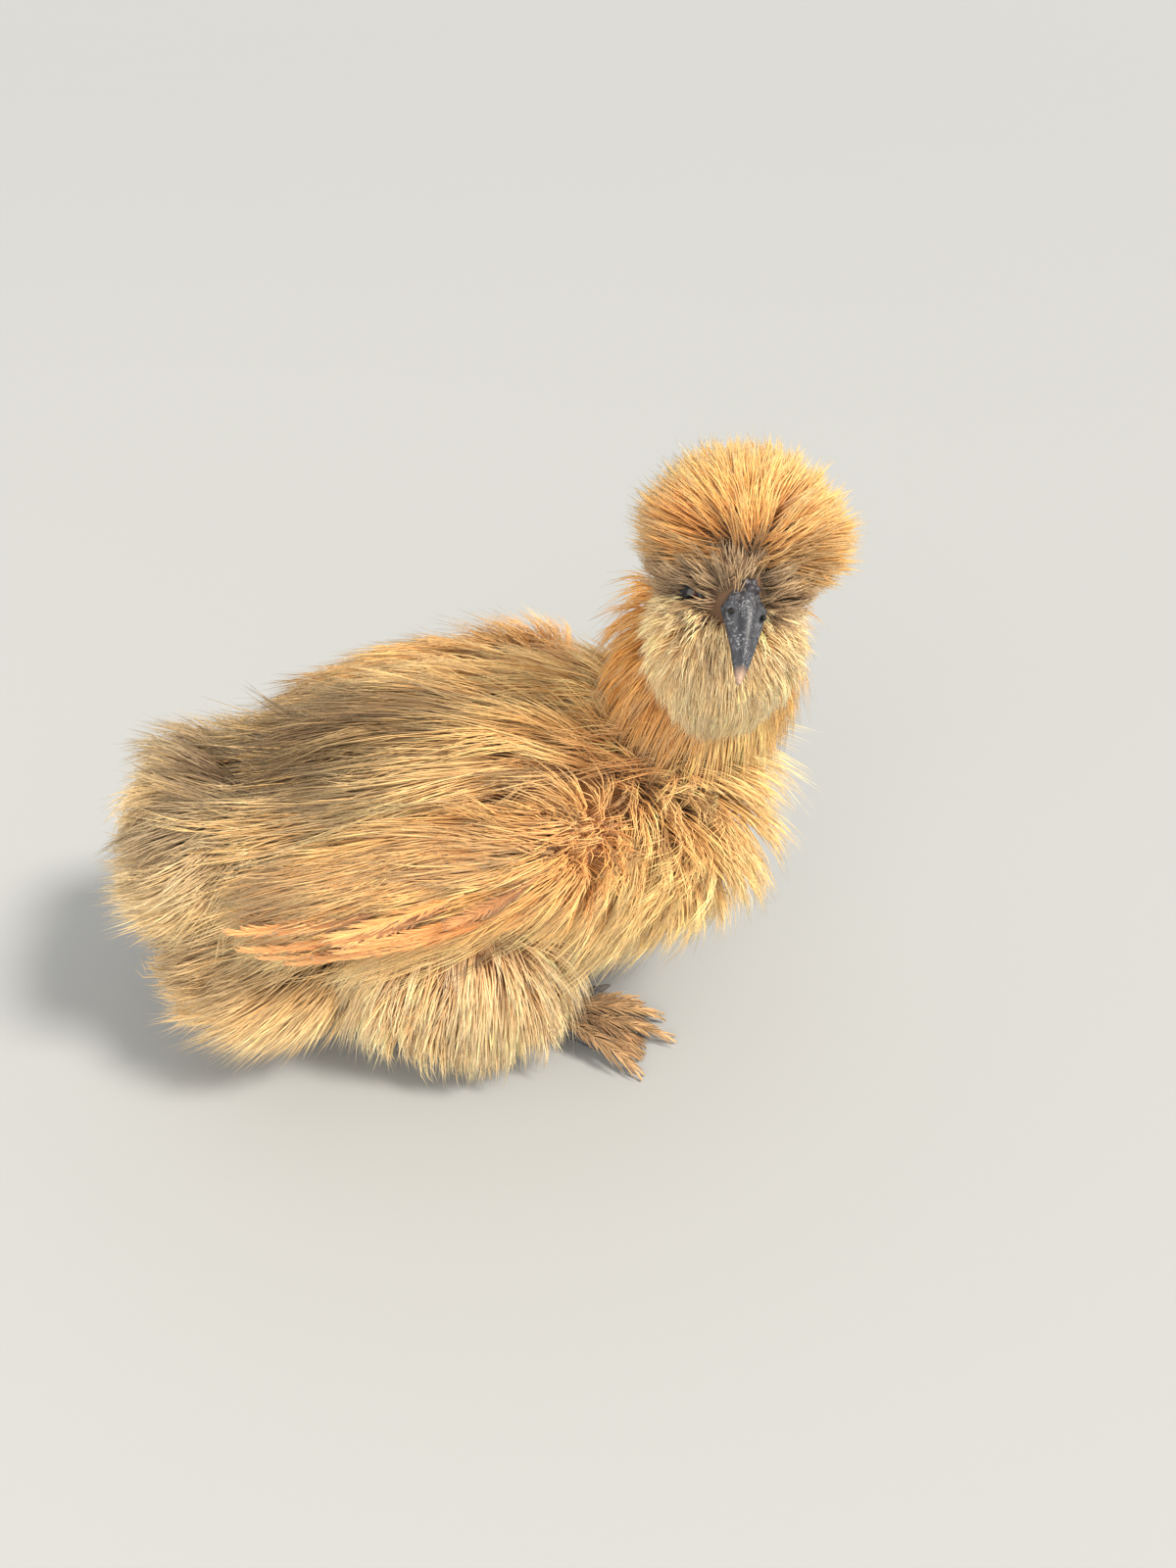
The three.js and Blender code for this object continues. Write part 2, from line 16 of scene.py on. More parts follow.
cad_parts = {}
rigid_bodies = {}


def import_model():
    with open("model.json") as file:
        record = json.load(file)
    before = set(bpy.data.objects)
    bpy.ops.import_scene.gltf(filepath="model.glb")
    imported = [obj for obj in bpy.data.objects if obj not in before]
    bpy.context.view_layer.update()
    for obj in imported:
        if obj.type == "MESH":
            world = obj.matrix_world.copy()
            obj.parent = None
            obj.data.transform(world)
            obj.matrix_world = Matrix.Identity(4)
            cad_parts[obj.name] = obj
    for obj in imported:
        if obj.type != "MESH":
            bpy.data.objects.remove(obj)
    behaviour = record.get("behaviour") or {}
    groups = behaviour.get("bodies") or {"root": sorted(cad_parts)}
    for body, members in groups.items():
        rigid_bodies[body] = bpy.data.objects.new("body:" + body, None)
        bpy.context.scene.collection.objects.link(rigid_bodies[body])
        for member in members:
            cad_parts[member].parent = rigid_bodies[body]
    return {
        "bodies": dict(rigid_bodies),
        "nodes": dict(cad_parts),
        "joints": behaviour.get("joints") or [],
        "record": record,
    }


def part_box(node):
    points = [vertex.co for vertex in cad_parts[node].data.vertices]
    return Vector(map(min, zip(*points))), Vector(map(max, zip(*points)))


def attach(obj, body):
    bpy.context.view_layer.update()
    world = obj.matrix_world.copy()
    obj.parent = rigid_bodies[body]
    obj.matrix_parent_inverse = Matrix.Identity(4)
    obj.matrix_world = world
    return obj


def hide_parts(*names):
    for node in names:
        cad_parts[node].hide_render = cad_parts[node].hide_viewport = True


LOG = logging.getLogger("silkie")
MM = 0.001
Point = tuple[float, float, float]
Array = np.ndarray
Draws = np.random.Generator
Piece = bpy.types.Object
Material = bpy.types.Material

# The place halfway between the eyes, in the hen's own frame of millimetres, and each eye's way from it.
EYES_MIDDLE: Point = (49.9, -36.3, 192.6)
EYE_OFFSET = 11.0
HEAD_ROLL = math.radians(10.0)
HEAD_TURN = math.radians(5.0)

# Where a strand's four rings lie from root to tip, and how far on each is in its tints and in a dark fleck.
RING_SPOTS = (0.0, 0.36, 0.72, 1.0)
RING_TINTS = np.array([0.05, 0.4, 0.75, 1.0])
RING_FLECKS = np.array([0.1, 0.5, 0.8, 0.5])
COLOUR_LIMITS = (0.01, 0.97)


class Part(Enum):
    """The parts of the coat, each with colours of its own."""

    TORSO = "torso"
    RUMP = "rump"
    NECK = "neck"
    CREST = "crest"
    BEARD = "beard"
    TAIL = "tail"
    WING = "wing"
    THIGH = "thigh"
    FACE = "face"


def unit(values: Sequence[float]) -> Array:
    """Return a direction of length one."""
    array = np.asarray(values, float)
    return array / np.linalg.norm(array)


HEAD_ACROSS = unit((math.cos(HEAD_ROLL), math.sin(HEAD_TURN), -math.sin(HEAD_ROLL)))


def eye_place(side: int) -> Array:
    """Return the centre of an eye in millimetres: side is 1 for the left and -1 for the right."""
    return np.array(EYES_MIDDLE) + HEAD_ACROSS * EYE_OFFSET * side


def linear(colour: Sequence[float]) -> Array:
    """Turn colours seen on a screen, from 0 to 1, into linear ones."""
    seen = np.asarray(colour, float)
    return np.where(seen <= 0.04045, seen / 12.92, ((seen + 0.055) / 1.055) ** 2.4)


def shade(red: int, green: int, blue: int) -> Point:
    """Return a linear colour from its screen values of 0 to 255."""
    return tuple(float(value) for value in linear((red / 255, green / 255, blue / 255)))


@dataclass(frozen=True)
class Form:
    """An egg about a bent axis: the outline of a part of the coat out to its tips, in millimetres."""

    part: Part
    front: Point
    via: Point
    rear: Point
    up: float
    down: float
    side: float
    blunt: tuple[float, float]
    upward: Point = (0.0, 0.0, 1.0)

    AXIS_STEPS = 33
    END_REACH = 4.0

    def mirrored(self) -> Form:
        """Return the same form on the other side of the body."""
        flip = [(x, -y, z) for x, y, z in (self.front, self.via, self.rear)]
        return replace(self, front=flip[0], via=flip[1], rear=flip[2])

    def axis(self, t: Array) -> tuple[Array, Array]:
        """Find places on the axis.

        Args:
            t: Shares of the way from the front to the rear.

        Returns:
            The points and the unit directions of the axis there.
        """
        t = t[..., None]
        a, b, c = (np.array(p, float) for p in (self.front, self.via, self.rear))
        place = (1 - t) ** 2 * a + 2 * t * (1 - t) * b + t**2 * c
        ahead = 2 * (1 - t) * (b - a) + 2 * t * (c - b)
        return place, ahead / np.linalg.norm(ahead, axis=-1, keepdims=True)

    def cross(self, ahead: Array) -> tuple[Array, Array]:
        """Return the directions across and above the axis."""
        across = np.cross(np.array(self.upward), ahead)
        across /= np.linalg.norm(across, axis=-1, keepdims=True)
        return across, np.cross(ahead, across)

    def full(self, u: Array) -> Array:
        """Return how full the outline is at length u."""
        power = np.where(u < 0.5, self.blunt[0], self.blunt[1])
        return np.sin(np.pi * np.clip(u, 0.0, 1.0)) ** power

    def points(self, u: Array, v: Array, share: Array) -> Array:
        """Place points at length u, angle v and a share of the full size.

        Args:
            u: Lengths, from 0 at the front to 1 at the rear.
            v: Angles about the axis, from straight up.
            share: Shares of the full size.

        Returns:
            The points, in millimetres.
        """
        u, v, share = np.broadcast_arrays(u, v, share)
        t = 0.5 + ((1 - np.cos(np.pi * np.clip(u, 0.0, 1.0))) / 2 - 0.5) * share
        held = np.clip(t, 0.0, 1.0)
        place, ahead = self.axis(held)
        chord = float(np.linalg.norm(np.subtract(self.rear, self.front)))
        place = place + ahead * ((t - held) * chord)[..., None]
        across, above = self.cross(ahead)
        tall = np.where(np.cos(v) > 0, self.up, self.down)
        size = self.full(u) * share
        return (
            place
            + above * (size * tall * np.cos(v))[..., None]
            + across * (size * self.side * np.sin(v))[..., None]
        )

    def holds(self, places: Array, share: float = 1.0) -> Array:
        """Tell which places lie in a share of the form.

        Args:
            places: Points, in millimetres.
            share: The share of the full size.

        Returns:
            One truth value for each point.
        """
        steps = np.linspace(0.0, 1.0, self.AXIS_STEPS)
        axis, ahead = self.axis(steps)
        gaps = ((places[:, None, :] - axis[None]) ** 2).sum(-1)
        near = gaps.argmin(1)
        across, above = self.cross(ahead)
        off = places - axis[near]
        high = (off * above[near]).sum(-1)
        wide = (off * across[near]).sum(-1)
        t = np.clip(0.5 + (steps[near] - 0.5) / share, 0.001, 0.999)
        u = np.arccos(1 - 2 * t) / np.pi
        tall = np.where(high > 0, self.up, self.down)
        inside = np.hypot(high / tall, wide / self.side) < share * self.full(u)
        ends = (near == 0) | (near == len(steps) - 1)
        return np.where(ends, gaps.min(1) < self.END_REACH, inside)


CROWNWARD: Point = (math.sin(HEAD_ROLL), 0.2, math.cos(HEAD_ROLL))
TORSO = Form(Part.TORSO, (99, 0, 94), (-20, 0, 98), (-158, 0, 68), 57, 71, 74, (0.42, 0.6))
RUMP = Form(Part.RUMP, (-44, 0, 56), (-104, 0, 54), (-162, 0, 50), 46, 46, 72, (0.55, 0.5))
NECK = Form(Part.NECK, (44, 0, 94), (50, -6, 142), (58, -24, 206), 41, 42, 40, (0.42, 0.6), (1, 0, 0))
CREST = Form(
    Part.CREST, (53, -57, 198), (59, -24, 208), (63, 14, 198), 31, 24, 38.5, (2.4, 0.55),
    CROWNWARD,
)
BEARD = Form(
    Part.BEARD, (52, -31, 199), (50, -41, 176), (46, -44, 141), 24, 22, 30, (0.6, 1.5), (0, -1, 0),
)
TAIL = Form(Part.TAIL, (-88, 0, 88), (-128, 0, 96), (-162, 0, 82), 34, 42, 58, (0.55, 0.55))
LEFT_WING = Form(Part.WING, (40, 46, 112), (-30, 54, 114), (-122, 48, 90), 25, 33, 29, (0.55, 0.7))
LEFT_THIGH = Form(
    Part.THIGH, (-34, 38, 98), (-38, 43, 50), (-42, 43, 1.6), 50, 60, 33, (0.5, 0.36), (1, 0, 0),
)
FACE = Form(
    Part.FACE, (50.5, -59, 192), (52, -30, 194), (58, 9, 194), 19, 20, 30, (0.85, 0.5),
    CROWNWARD,
)
RIGHT_WING = LEFT_WING.mirrored()
RIGHT_THIGH = LEFT_THIGH.mirrored()


@dataclass(frozen=True)
class Patch:
    """A soft-edged marking: a place, its half sizes in millimetres, its colour and how strong it is."""

    place: Point
    reach: Point
    colour: Point
    strength: float


@dataclass(frozen=True)
class Tint:
    """The colours of one part of the coat, from the roots to the tips."""

    root: Point
    middle: Point
    tip: Point


def tint(root: tuple[int, ...], middle: tuple[int, ...], tip: tuple[int, ...]) -> Tint:
    """Return the colours of a part of the coat from their screen values."""
    return Tint(shade(*root), shade(*middle), shade(*tip))


GREY_BROWN = shade(104, 80, 60)
DARK_BROWN = shade(58, 40, 28)
ORANGE = shade(226, 142, 62)
PEACH = shade(246, 182, 112)
SHOULDER = shade(236, 178, 108)
CREAM = shade(255, 222, 158)
PINK_GREY = shade(206, 172, 140)
HEAD_PARTS = (Part.CREST, Part.BEARD, Part.NECK, Part.FACE)


@dataclass
class Markings:
    """The colours of the hen's coat by part and place, the same on skin and down."""

    tints: dict[Part, Tint] = field(default_factory=lambda: {
        Part.TORSO: tint((198, 144, 86), (244, 192, 120), (255, 224, 162)),
        Part.RUMP: tint((168, 128, 86), (228, 184, 124), (248, 216, 160)),
        Part.NECK: tint((178, 108, 48), (238, 162, 76), (252, 200, 118)),
        Part.CREST: tint((186, 112, 46), (244, 172, 82), (254, 216, 140)),
        Part.BEARD: tint((230, 172, 110), (255, 212, 148), (255, 232, 184)),
        Part.TAIL: tint((146, 114, 82), (220, 184, 130), (248, 222, 170)),
        Part.WING: tint((202, 140, 80), (240, 178, 104), (254, 212, 146)),
        Part.THIGH: tint((222, 168, 116), (255, 210, 150), (255, 230, 180)),
        Part.FACE: tint((58, 42, 30), (140, 110, 80), (206, 174, 130)),
    })
    patches: dict[Part, tuple[Patch, ...]] = field(default_factory=lambda: {
        Part.CREST: (
            Patch((32, -38, 203), (12, 15, 9), GREY_BROWN, 0.8),
            Patch((72, -46, 203), (12, 15, 10), GREY_BROWN, 0.8),
            Patch((46, -49, 207), (9, 8, 5), GREY_BROWN, 0.6),
            Patch((60, -51, 207), (9, 8, 5), GREY_BROWN, 0.6),
            Patch((41, -39, 219), (3, 6, 6), DARK_BROWN, 0.7),
            Patch((30, -30, 216), (6, 9, 8), ORANGE, 0.6),
        ),
        Part.BEARD: (
            Patch((38, -56, 181), (6, 8, 5), GREY_BROWN, 0.6),
            Patch((64, -58, 181), (6, 8, 5), GREY_BROWN, 0.35),
        ),
        Part.NECK: (
            Patch((62, -38, 130), (16, 22, 20), CREAM, 0.75),
            Patch((18, -20, 168), (12, 20, 12), GREY_BROWN, 0.3),
        ),
        Part.TORSO: (
            Patch((58, -44, 122), (16, 20, 20), CREAM, 0.85),
            Patch((24, -46, 132), (14, 18, 14), ORANGE, 0.5),
            Patch((44, -54, 112), (20, 16, 18), SHOULDER, 0.6),
            Patch((70, -50, 112), (9, 14, 12), ORANGE, 0.3),
            Patch((-2, -40, 137), (16, 16, 12), ORANGE, 0.35),
            Patch((-104, 8, 127), (13, 13, 12), DARK_BROWN, 0.85),
            Patch((-88, -29, 128), (11, 11, 12), DARK_BROWN, 0.88),
            Patch((-59, 5, 140), (17, 10, 10), GREY_BROWN, 0.85),
            Patch((-80, -18, 133), (12, 11, 10), DARK_BROWN, 0.7),
        ),
        Part.TAIL: (
            Patch((-118, -6, 122), (18, 16, 14), GREY_BROWN, 0.8),
            Patch((-142, -35, 113), (13, 14, 12), GREY_BROWN, 0.75),
        ),
        Part.RUMP: (
            # Grey-brown low on the rear: partly grey bands of the coat and partly painted shade, where the
            # hen's own shadow darkens the lower rear.
            Patch((-157, -40, 62), (14, 18, 9), GREY_BROWN, 0.75),
            Patch((-125, -63, 66), (14, 16, 8), GREY_BROWN, 0.6),
        ),
        Part.WING: (
            Patch((-109, -47, 109), (15, 16, 12), GREY_BROWN, 0.7),
            Patch((-28, -60, 130), (18, 14, 8), GREY_BROWN, 0.4),
            Patch((-60, -74, 92), (46, 20, 8), PEACH, 0.85),
            Patch((14, -68, 116), (18, 18, 14), ORANGE, 0.35),
            Patch((42, -52, 112), (20, 18, 18), SHOULDER, 0.7),
        ),
        Part.THIGH: (
            Patch((-57, -70, 80), (24, 18, 11), PINK_GREY, 0.8),
        ),
        Part.FACE: (),
    })

    MIDDLE_SPOT = 0.55
    PATCH_LIFT = (0.75, 0.5)

    def colours(self, part: Part, places: Array, along: Array) -> Array:
        """Colour points of the coat.

        Args:
            part: The part of the coat.
            places: Where the tufts grow, in millimetres.
            along: How far each point is from root to tip, from 0 to 1.

        Returns:
            Linear colours, one row for each point.
        """
        tones = self.tints[part]
        stops = np.array([tones.root, tones.middle, tones.tip])
        spots = (0.0, self.MIDDLE_SPOT, 1.0)
        colour = np.stack([np.interp(along, spots, stops[:, k]) for k in range(3)], axis=-1)
        lift = (self.PATCH_LIFT[0] + self.PATCH_LIFT[1] * along)[..., None]
        for patch in self.patches[part]:
            for sign in (1, -1) if part not in HEAD_PARTS else (1,):
                centre = np.array(patch.place) * (1, sign, 1)
                gap = (places - centre) / np.array(patch.reach)
                weight = patch.strength * np.exp(-0.5 * (gap**2).sum(-1))[..., None]
                colour = colour * (1 - weight) + np.array(patch.colour) * lift * weight
        return colour


MARKINGS = Markings()


@dataclass
class Model:
    """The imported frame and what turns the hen's own millimetres into its metres."""

    frame: dict
    origin: Array

    @classmethod
    def load(cls) -> Model:
        """Load the frame and find the hen's origin from its right eye."""
        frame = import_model()
        low, high = (np.array(corner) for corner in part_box("right_eye"))
        return cls(frame, (low + high) / 2 - eye_place(-1) * MM)

    def place(self, points: Array) -> Array:
        """Turn points in the hen's millimetres into metres of the frame."""
        return np.asarray(points, float) * MM + self.origin


class Socket:
    """A shader socket that can be written in sums, products and differences."""

    def __init__(self, book: Book, socket: bpy.types.NodeSocket) -> None:
        """Keep the socket and the book that makes its nodes."""
        self.book = book
        self.socket = socket

    def _maths(self, kind: str, first: object, second: object) -> Socket:
        """Return the result of one Math node."""
        return self.book.node("ShaderNodeMath", {"operation": kind}, {0: first, 1: second})

    def __add__(self, other: object) -> Socket:
        """Return the sum."""
        return self._maths("ADD", self, other)

    __radd__ = __add__

    def __mul__(self, other: object) -> Socket:
        """Return the product."""
        return self._maths("MULTIPLY", self, other)

    __rmul__ = __mul__

    def __rsub__(self, other: object) -> Socket:
        """Return what is left of a number when this is taken from it."""
        return self._maths("SUBTRACT", other, self)

    def out(self, name: str) -> Socket:
        """Return another output of the same node."""
        return Socket(self.book, self.socket.node.outputs[name])


class Book:
    """A material and the nodes written into it."""

    def __init__(self, name: str) -> None:
        """Start a material with a principled shader."""
        self.material = bpy.data.materials.new(name)
        self.material.use_nodes = True
        self.tree = self.material.node_tree
        self.shader = self.tree.nodes["Principled BSDF"]

    def node(self, kind: str, settings: dict | None = None, inputs: dict | None = None) -> Socket:
        """Add a node.

        Args:
            kind: The node's type.
            settings: Its settings; a ramp's stops are under "stops".
            inputs: Values or sockets by input name or number.

        Returns:
            Its first output.
        """
        made = self.tree.nodes.new(kind)
        for key, value in (settings or {}).items():
            if key == "stops":
                ramp = made.color_ramp
                while len(ramp.elements) < len(value):
                    ramp.elements.new(0.5)
                for element, (spot, colour) in zip(ramp.elements, value):
                    element.position = spot
                    element.color = (*colour, 1.0)
            else:
                setattr(made, key, value)
        for key, value in (inputs or {}).items():
            self.feed(made.inputs[key], value)
        return Socket(self, made.outputs[0])

    def feed(self, target: bpy.types.NodeSocket, value: object) -> None:
        """Link a socket to an input, or set the input's value."""
        if isinstance(value, Socket):
            self.tree.links.new(value.socket, target)
        else:
            target.default_value = value

    def mix(self, factor: object, first: object, second: object, kind: str = "MIX") -> Socket:
        """Return two colours mixed by a factor."""
        made = self.tree.nodes.new("ShaderNodeMix")
        made.data_type = "RGBA"
        made.blend_type = kind
        for key, value in ((0, factor), (6, first), (7, second)):
            colour = (*value, 1.0) if isinstance(value, tuple) and len(value) == 3 else value
            self.feed(made.inputs[key], colour)
        return Socket(self, made.outputs[2])

    def place(self) -> Socket:
        """Return the object coordinates."""
        return self.node("ShaderNodeTexCoord").out("Object")

    def noise(self, scale: float, detail: float = 3.0, rough: float = 0.55) -> Socket:
        """Return noise over the object, with cells of 1/scale metres."""
        inputs = {"Vector": self.place(), "Scale": scale, "Detail": detail, "Roughness": rough}
        return self.node("ShaderNodeTexNoise", None, inputs)

    def cells(self, scale: float, feature: str) -> Socket:
        """Return the distance pattern of cells over the object."""
        inputs = {"Vector": self.place(), "Scale": scale}
        return self.node("ShaderNodeTexVoronoi", {"feature": feature}, inputs)

    def ramp(self, value: Socket, *stops: tuple[float, Point]) -> Socket:
        """Return the colour of a ramp at a value."""
        return self.node("ShaderNodeValToRGB", {"stops": stops}, {0: value})

    def rise(self, value: Socket, low: float, high: float) -> Socket:
        """Return 0 under the low value and 1 over the high one, with a slope between them."""
        return self.ramp(value, (low, (0, 0, 0)), (high, (1, 1, 1)))

    def attribute(self, name: str) -> Socket:
        """Return the colour of one of the mesh's attributes."""
        return self.node("ShaderNodeAttribute", {"attribute_name": name})

    def bump(self, height: Socket, strength: float, distance: float) -> None:
        """Send a height to the shader's normal."""
        inputs = {"Height": height, "Strength": strength, "Distance": distance}
        self.feed(self.shader.inputs["Normal"], self.node("ShaderNodeBump", None, inputs))

    def set(self, **values: object) -> None:
        """Feed the shader's sockets, named with underscores for spaces."""
        for key, value in values.items():
            self.feed(self.shader.inputs[key.replace("_", " ")], value)


@dataclass(frozen=True)
class DownFinish:
    """The down: its colour from the strands, matt with a faint sheen."""

    name: str = "silkie_down"
    streak_scale: float = 900.0
    streak_colour: Point = (0.45, 0.4, 0.36)
    streak_strength: float = 0.22
    roughness: float = 0.62
    specular: float = 0.2
    sheen: float = 0.45
    sheen_roughness: float = 0.45
    sheen_tint: tuple[float, ...] = (1.0, 0.84, 0.6, 1.0)

    def build(self) -> Material:
        """Return the material."""
        book = Book(self.name)
        grain = book.noise(self.streak_scale, 2.0)
        streak = book.ramp(grain, (0.3, self.streak_colour), (0.7, (1.0, 1.0, 1.0)))
        colour = book.mix(self.streak_strength, book.attribute("coat"), streak, "MULTIPLY")
        book.set(Base_Color=colour, Roughness=self.roughness, Specular_IOR_Level=self.specular)
        book.set(Sheen_Weight=self.sheen, Sheen_Roughness=self.sheen_roughness, Sheen_Tint=self.sheen_tint)
        return book.material


@dataclass(frozen=True)
class SkinFinish:
    """The skin under the down, tinted as the down over it and darker."""

    name: str = "silkie_skin"
    grain: float = 420.0
    hollow: Point = shade(120, 82, 54)
    depth: float = 0.0015

    def build(self) -> Material:
        """Return the material."""
        book = Book(self.name)
        fine = book.noise(self.grain, 6.0, 0.7)
        book.set(Base_Color=book.mix(0.45 * fine, book.attribute("coat"), self.hollow), Roughness=0.85)
        book.bump(fine, 0.5, self.depth)
        return book.material


@dataclass(frozen=True)
class HornFinish:
    """Dark slate horn, scuffed pale in patches and paler at its tip."""

    name: str
    deep: Point
    scuff: Point
    wear: float
    tip: Point
    blotches: float = 260.0
    scratches: float = 1500.0
    depth: float = 0.0004

    def build(self) -> Material:
        """Return the material."""
        book = Book(self.name)
        blotch = book.noise(self.blotches, 5.0, 0.65)
        scratch = book.noise(self.scratches, 4.0, 0.7)
        worn = book.rise(scratch, 0.5, 0.72) * book.rise(blotch, 0.42, 0.62) * self.wear
        pale = book.attribute("pale").out("Fac")
        book.set(Base_Color=book.mix(pale, book.mix(worn, self.deep, self.scuff), self.tip))
        book.set(Roughness=0.32 + 0.3 * blotch)
        book.bump(scratch, 0.25, self.depth)
        return book.material


@dataclass(frozen=True)
class ScaleFinish:
    """Slate skin of the shanks and toes, in small scales."""

    name: str = "leg_scales"
    scales: float = 420.0
    dark: Point = shade(58, 58, 66)
    light: Point = shade(96, 92, 92)
    crease: Point = shade(30, 29, 33)
    depth: float = 0.0005

    def build(self) -> Material:
        """Return the material."""
        book = Book(self.name)
        lines = book.rise(book.cells(self.scales, "DISTANCE_TO_EDGE"), 0.0, 0.12)
        skin = book.mix(book.noise(120.0, 4.0), self.dark, self.light)
        book.set(Base_Color=book.mix(0.55 * (1 - lines), skin, self.crease), Roughness=0.5)
        book.bump(lines, 0.5, self.depth)
        return book.material


@dataclass(frozen=True)
class EyeFinish:
    """A wet, dark brown eye with a black pupil."""

    name: str = "wet_eye"
    pupil: tuple[tuple[float, Point], ...] = ((0.0, (0.003, 0.003, 0.003)), (0.36, (0.004, 0.003, 0.003)))
    iris: tuple[tuple[float, Point], ...] = ((0.42, (0.06, 0.022, 0.01)), (0.8, (0.02, 0.01, 0.006)))

    def build(self) -> Material:
        """Return the material."""
        book = Book(self.name)
        colour = book.ramp(book.attribute("iris"), *self.pupil, *self.iris)
        book.set(Base_Color=colour, Roughness=0.2, Coat_Weight=0.15, Specular_IOR_Level=0.35)
        return book.material


@dataclass(frozen=True)
class FloorFinish:
    """The pale studio floor."""

    name: str = "studio_floor"
    light: Point = shade(158, 160, 160)
    dark: Point = shade(148, 150, 151)

    def build(self) -> Material:
        """Return the material."""
        book = Book(self.name)
        book.set(Base_Color=book.mix(0.06 * book.noise(3.0, 2.0), self.light, self.dark), Roughness=0.8)
        return book.material


BEAK_HORN = HornFinish("beak_horn", shade(44, 46, 52), shade(196, 196, 200), 0.85, shade(196, 160, 132))
BARE_SKIN = HornFinish("bare_skin", shade(46, 42, 48), shade(92, 86, 90), 0.5, shade(46, 42, 48))
# The nostrils' near-black finish is painted shade: it stands for the shade inside their openings.
NOSTRIL_PAINTED_SHADE = HornFinish("nostril_painted_shade", shade(14, 12, 14), shade(30, 28, 30), 0.2, shade(14, 12, 14))
CLAW_HORN = HornFinish("claw_horn", shade(96, 88, 80), shade(150, 140, 128), 0.6, shade(96, 88, 80))


def deselect() -> None:
    """Leave nothing selected."""
    bpy.ops.object.select_all(action="DESELECT")


def finish(name: str) -> Piece:
    """Apply the active piece's place, turn and size, shade it smooth and name it."""
    bpy.ops.object.transform_apply(location=True, rotation=True, scale=True)
    bpy.ops.object.shade_smooth()
    piece = bpy.context.object
    piece.name = name
    piece.data.name = name
    return piece


def balls(
    name: str, centres: Array, sizes: Array, voxel: float, smooth: int = 4, turn: Matrix | None = None,
) -> Piece:
    """Model a soft body from overlapping balls, fused into one surface.

    Args:
        name: The piece's name.
        centres: The balls' centres, in metres.
        sizes: Their radii, or their half sizes along X, Y and Z, in metres.
        voxel: The size of the surface's cells, in metres.
        smooth: How many times the surface is smoothed.
        turn: How the balls' own axes are turned, where they are.

    Returns:
        The finished piece.
    """
    deselect()
    made = []
    angles = turn.to_euler() if turn else (0.0, 0.0, 0.0)
    for centre, size in zip(centres, np.broadcast_to(sizes.reshape(len(sizes), -1), (len(sizes), 3))):
        bpy.ops.mesh.primitive_uv_sphere_add(
            segments=20, ring_count=12, radius=1.0, location=tuple(centre), rotation=angles,
        )
        ball = bpy.context.object
        ball.scale = tuple(size)
        made.append(ball)
    deselect()
    for ball in made:
        ball.select_set(True)
    bpy.context.view_layer.objects.active = made[0]
    bpy.ops.object.join()
    body = bpy.context.object
    bpy.ops.object.transform_apply(location=True, rotation=True, scale=True)
    fuse = body.modifiers.new("fuse", "REMESH")
    fuse.mode = "VOXEL"
    fuse.voxel_size = voxel
    even = body.modifiers.new("even", "SMOOTH")
    even.factor = 0.5
    even.iterations = smooth
    for modifier in ("fuse", "even"):
        bpy.ops.object.modifier_apply(modifier=modifier)
    return finish(name)


def points_of(piece: Piece) -> Array:
    """Return the places of a piece's points, in metres."""
    places = np.empty(len(piece.data.vertices) * 3, np.float32)
    piece.data.vertices.foreach_get("co", places)
    return places.reshape(-1, 3)


def paint(piece: Piece, name: str, values: Array) -> None:
    """Give each point of a piece a value or a linear colour, as an attribute."""
    kind, key = ("FLOAT", "value") if values.ndim == 1 else ("FLOAT_COLOR", "color")
    if values.ndim > 1:
        values = np.concatenate([values, np.ones((len(values), 1))], axis=1)
    layer = piece.data.attributes.new(name, kind, "POINT")
    layer.data.foreach_set(key, values.astype(np.float32).ravel())


def dress(piece: Piece, material: Material, slot: str, *nodes: str) -> Piece:
    """Give a piece its material and body, and hide the nodes that it replaces; the slot is not used."""
    piece.data.materials.clear()
    piece.data.materials.append(material)
    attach(piece, "root")
    if nodes:
        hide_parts(*nodes)
    LOG.info("%s: %d faces", piece.name, len(piece.data.polygons))
    return piece


def along_line(points: Sequence[Point], count: int) -> Array:
    """Return places spread along a smooth line through points."""
    given = np.array(points, float)
    spots = np.linspace(0, len(given) - 1, count)
    padded = np.vstack([2 * given[0] - given[1], given, 2 * given[-1] - given[-2]])
    result = []
    for spot in spots:
        k = min(int(spot), len(given) - 2)
        s = spot - k
        a, b, c, d = padded[k:k + 4]
        bend = (2 * a - 5 * b + 4 * c - d) * s**2 + (3 * b - a - 3 * c + d) * s**3
        result.append(0.5 * (2 * b + (c - a) * s + bend))
    return np.array(result)


@dataclass(frozen=True)
class Tufts:
    """How the down of one form grows; lengths in millimetres, angles in radians."""

    name: str
    slot: str
    form: Form
    skin: float
    count: int
    start: tuple[float, float]
    run: float
    twist: float
    spread: float
    gather: float
    wide: float
    tips: tuple[float, float]
    seed: int
    tile: tuple[int, int]
    strands: int = 9
    around: tuple[float, float] = (0.0, 2 * math.pi)
    tousle: float = 1.4
    sweep: float = 4.0
    hang: float = 0.0
    fall: float = 0.0
    flecks: float = 0.0
    over: tuple[Form, ...] = ()
    eyes: bool = False


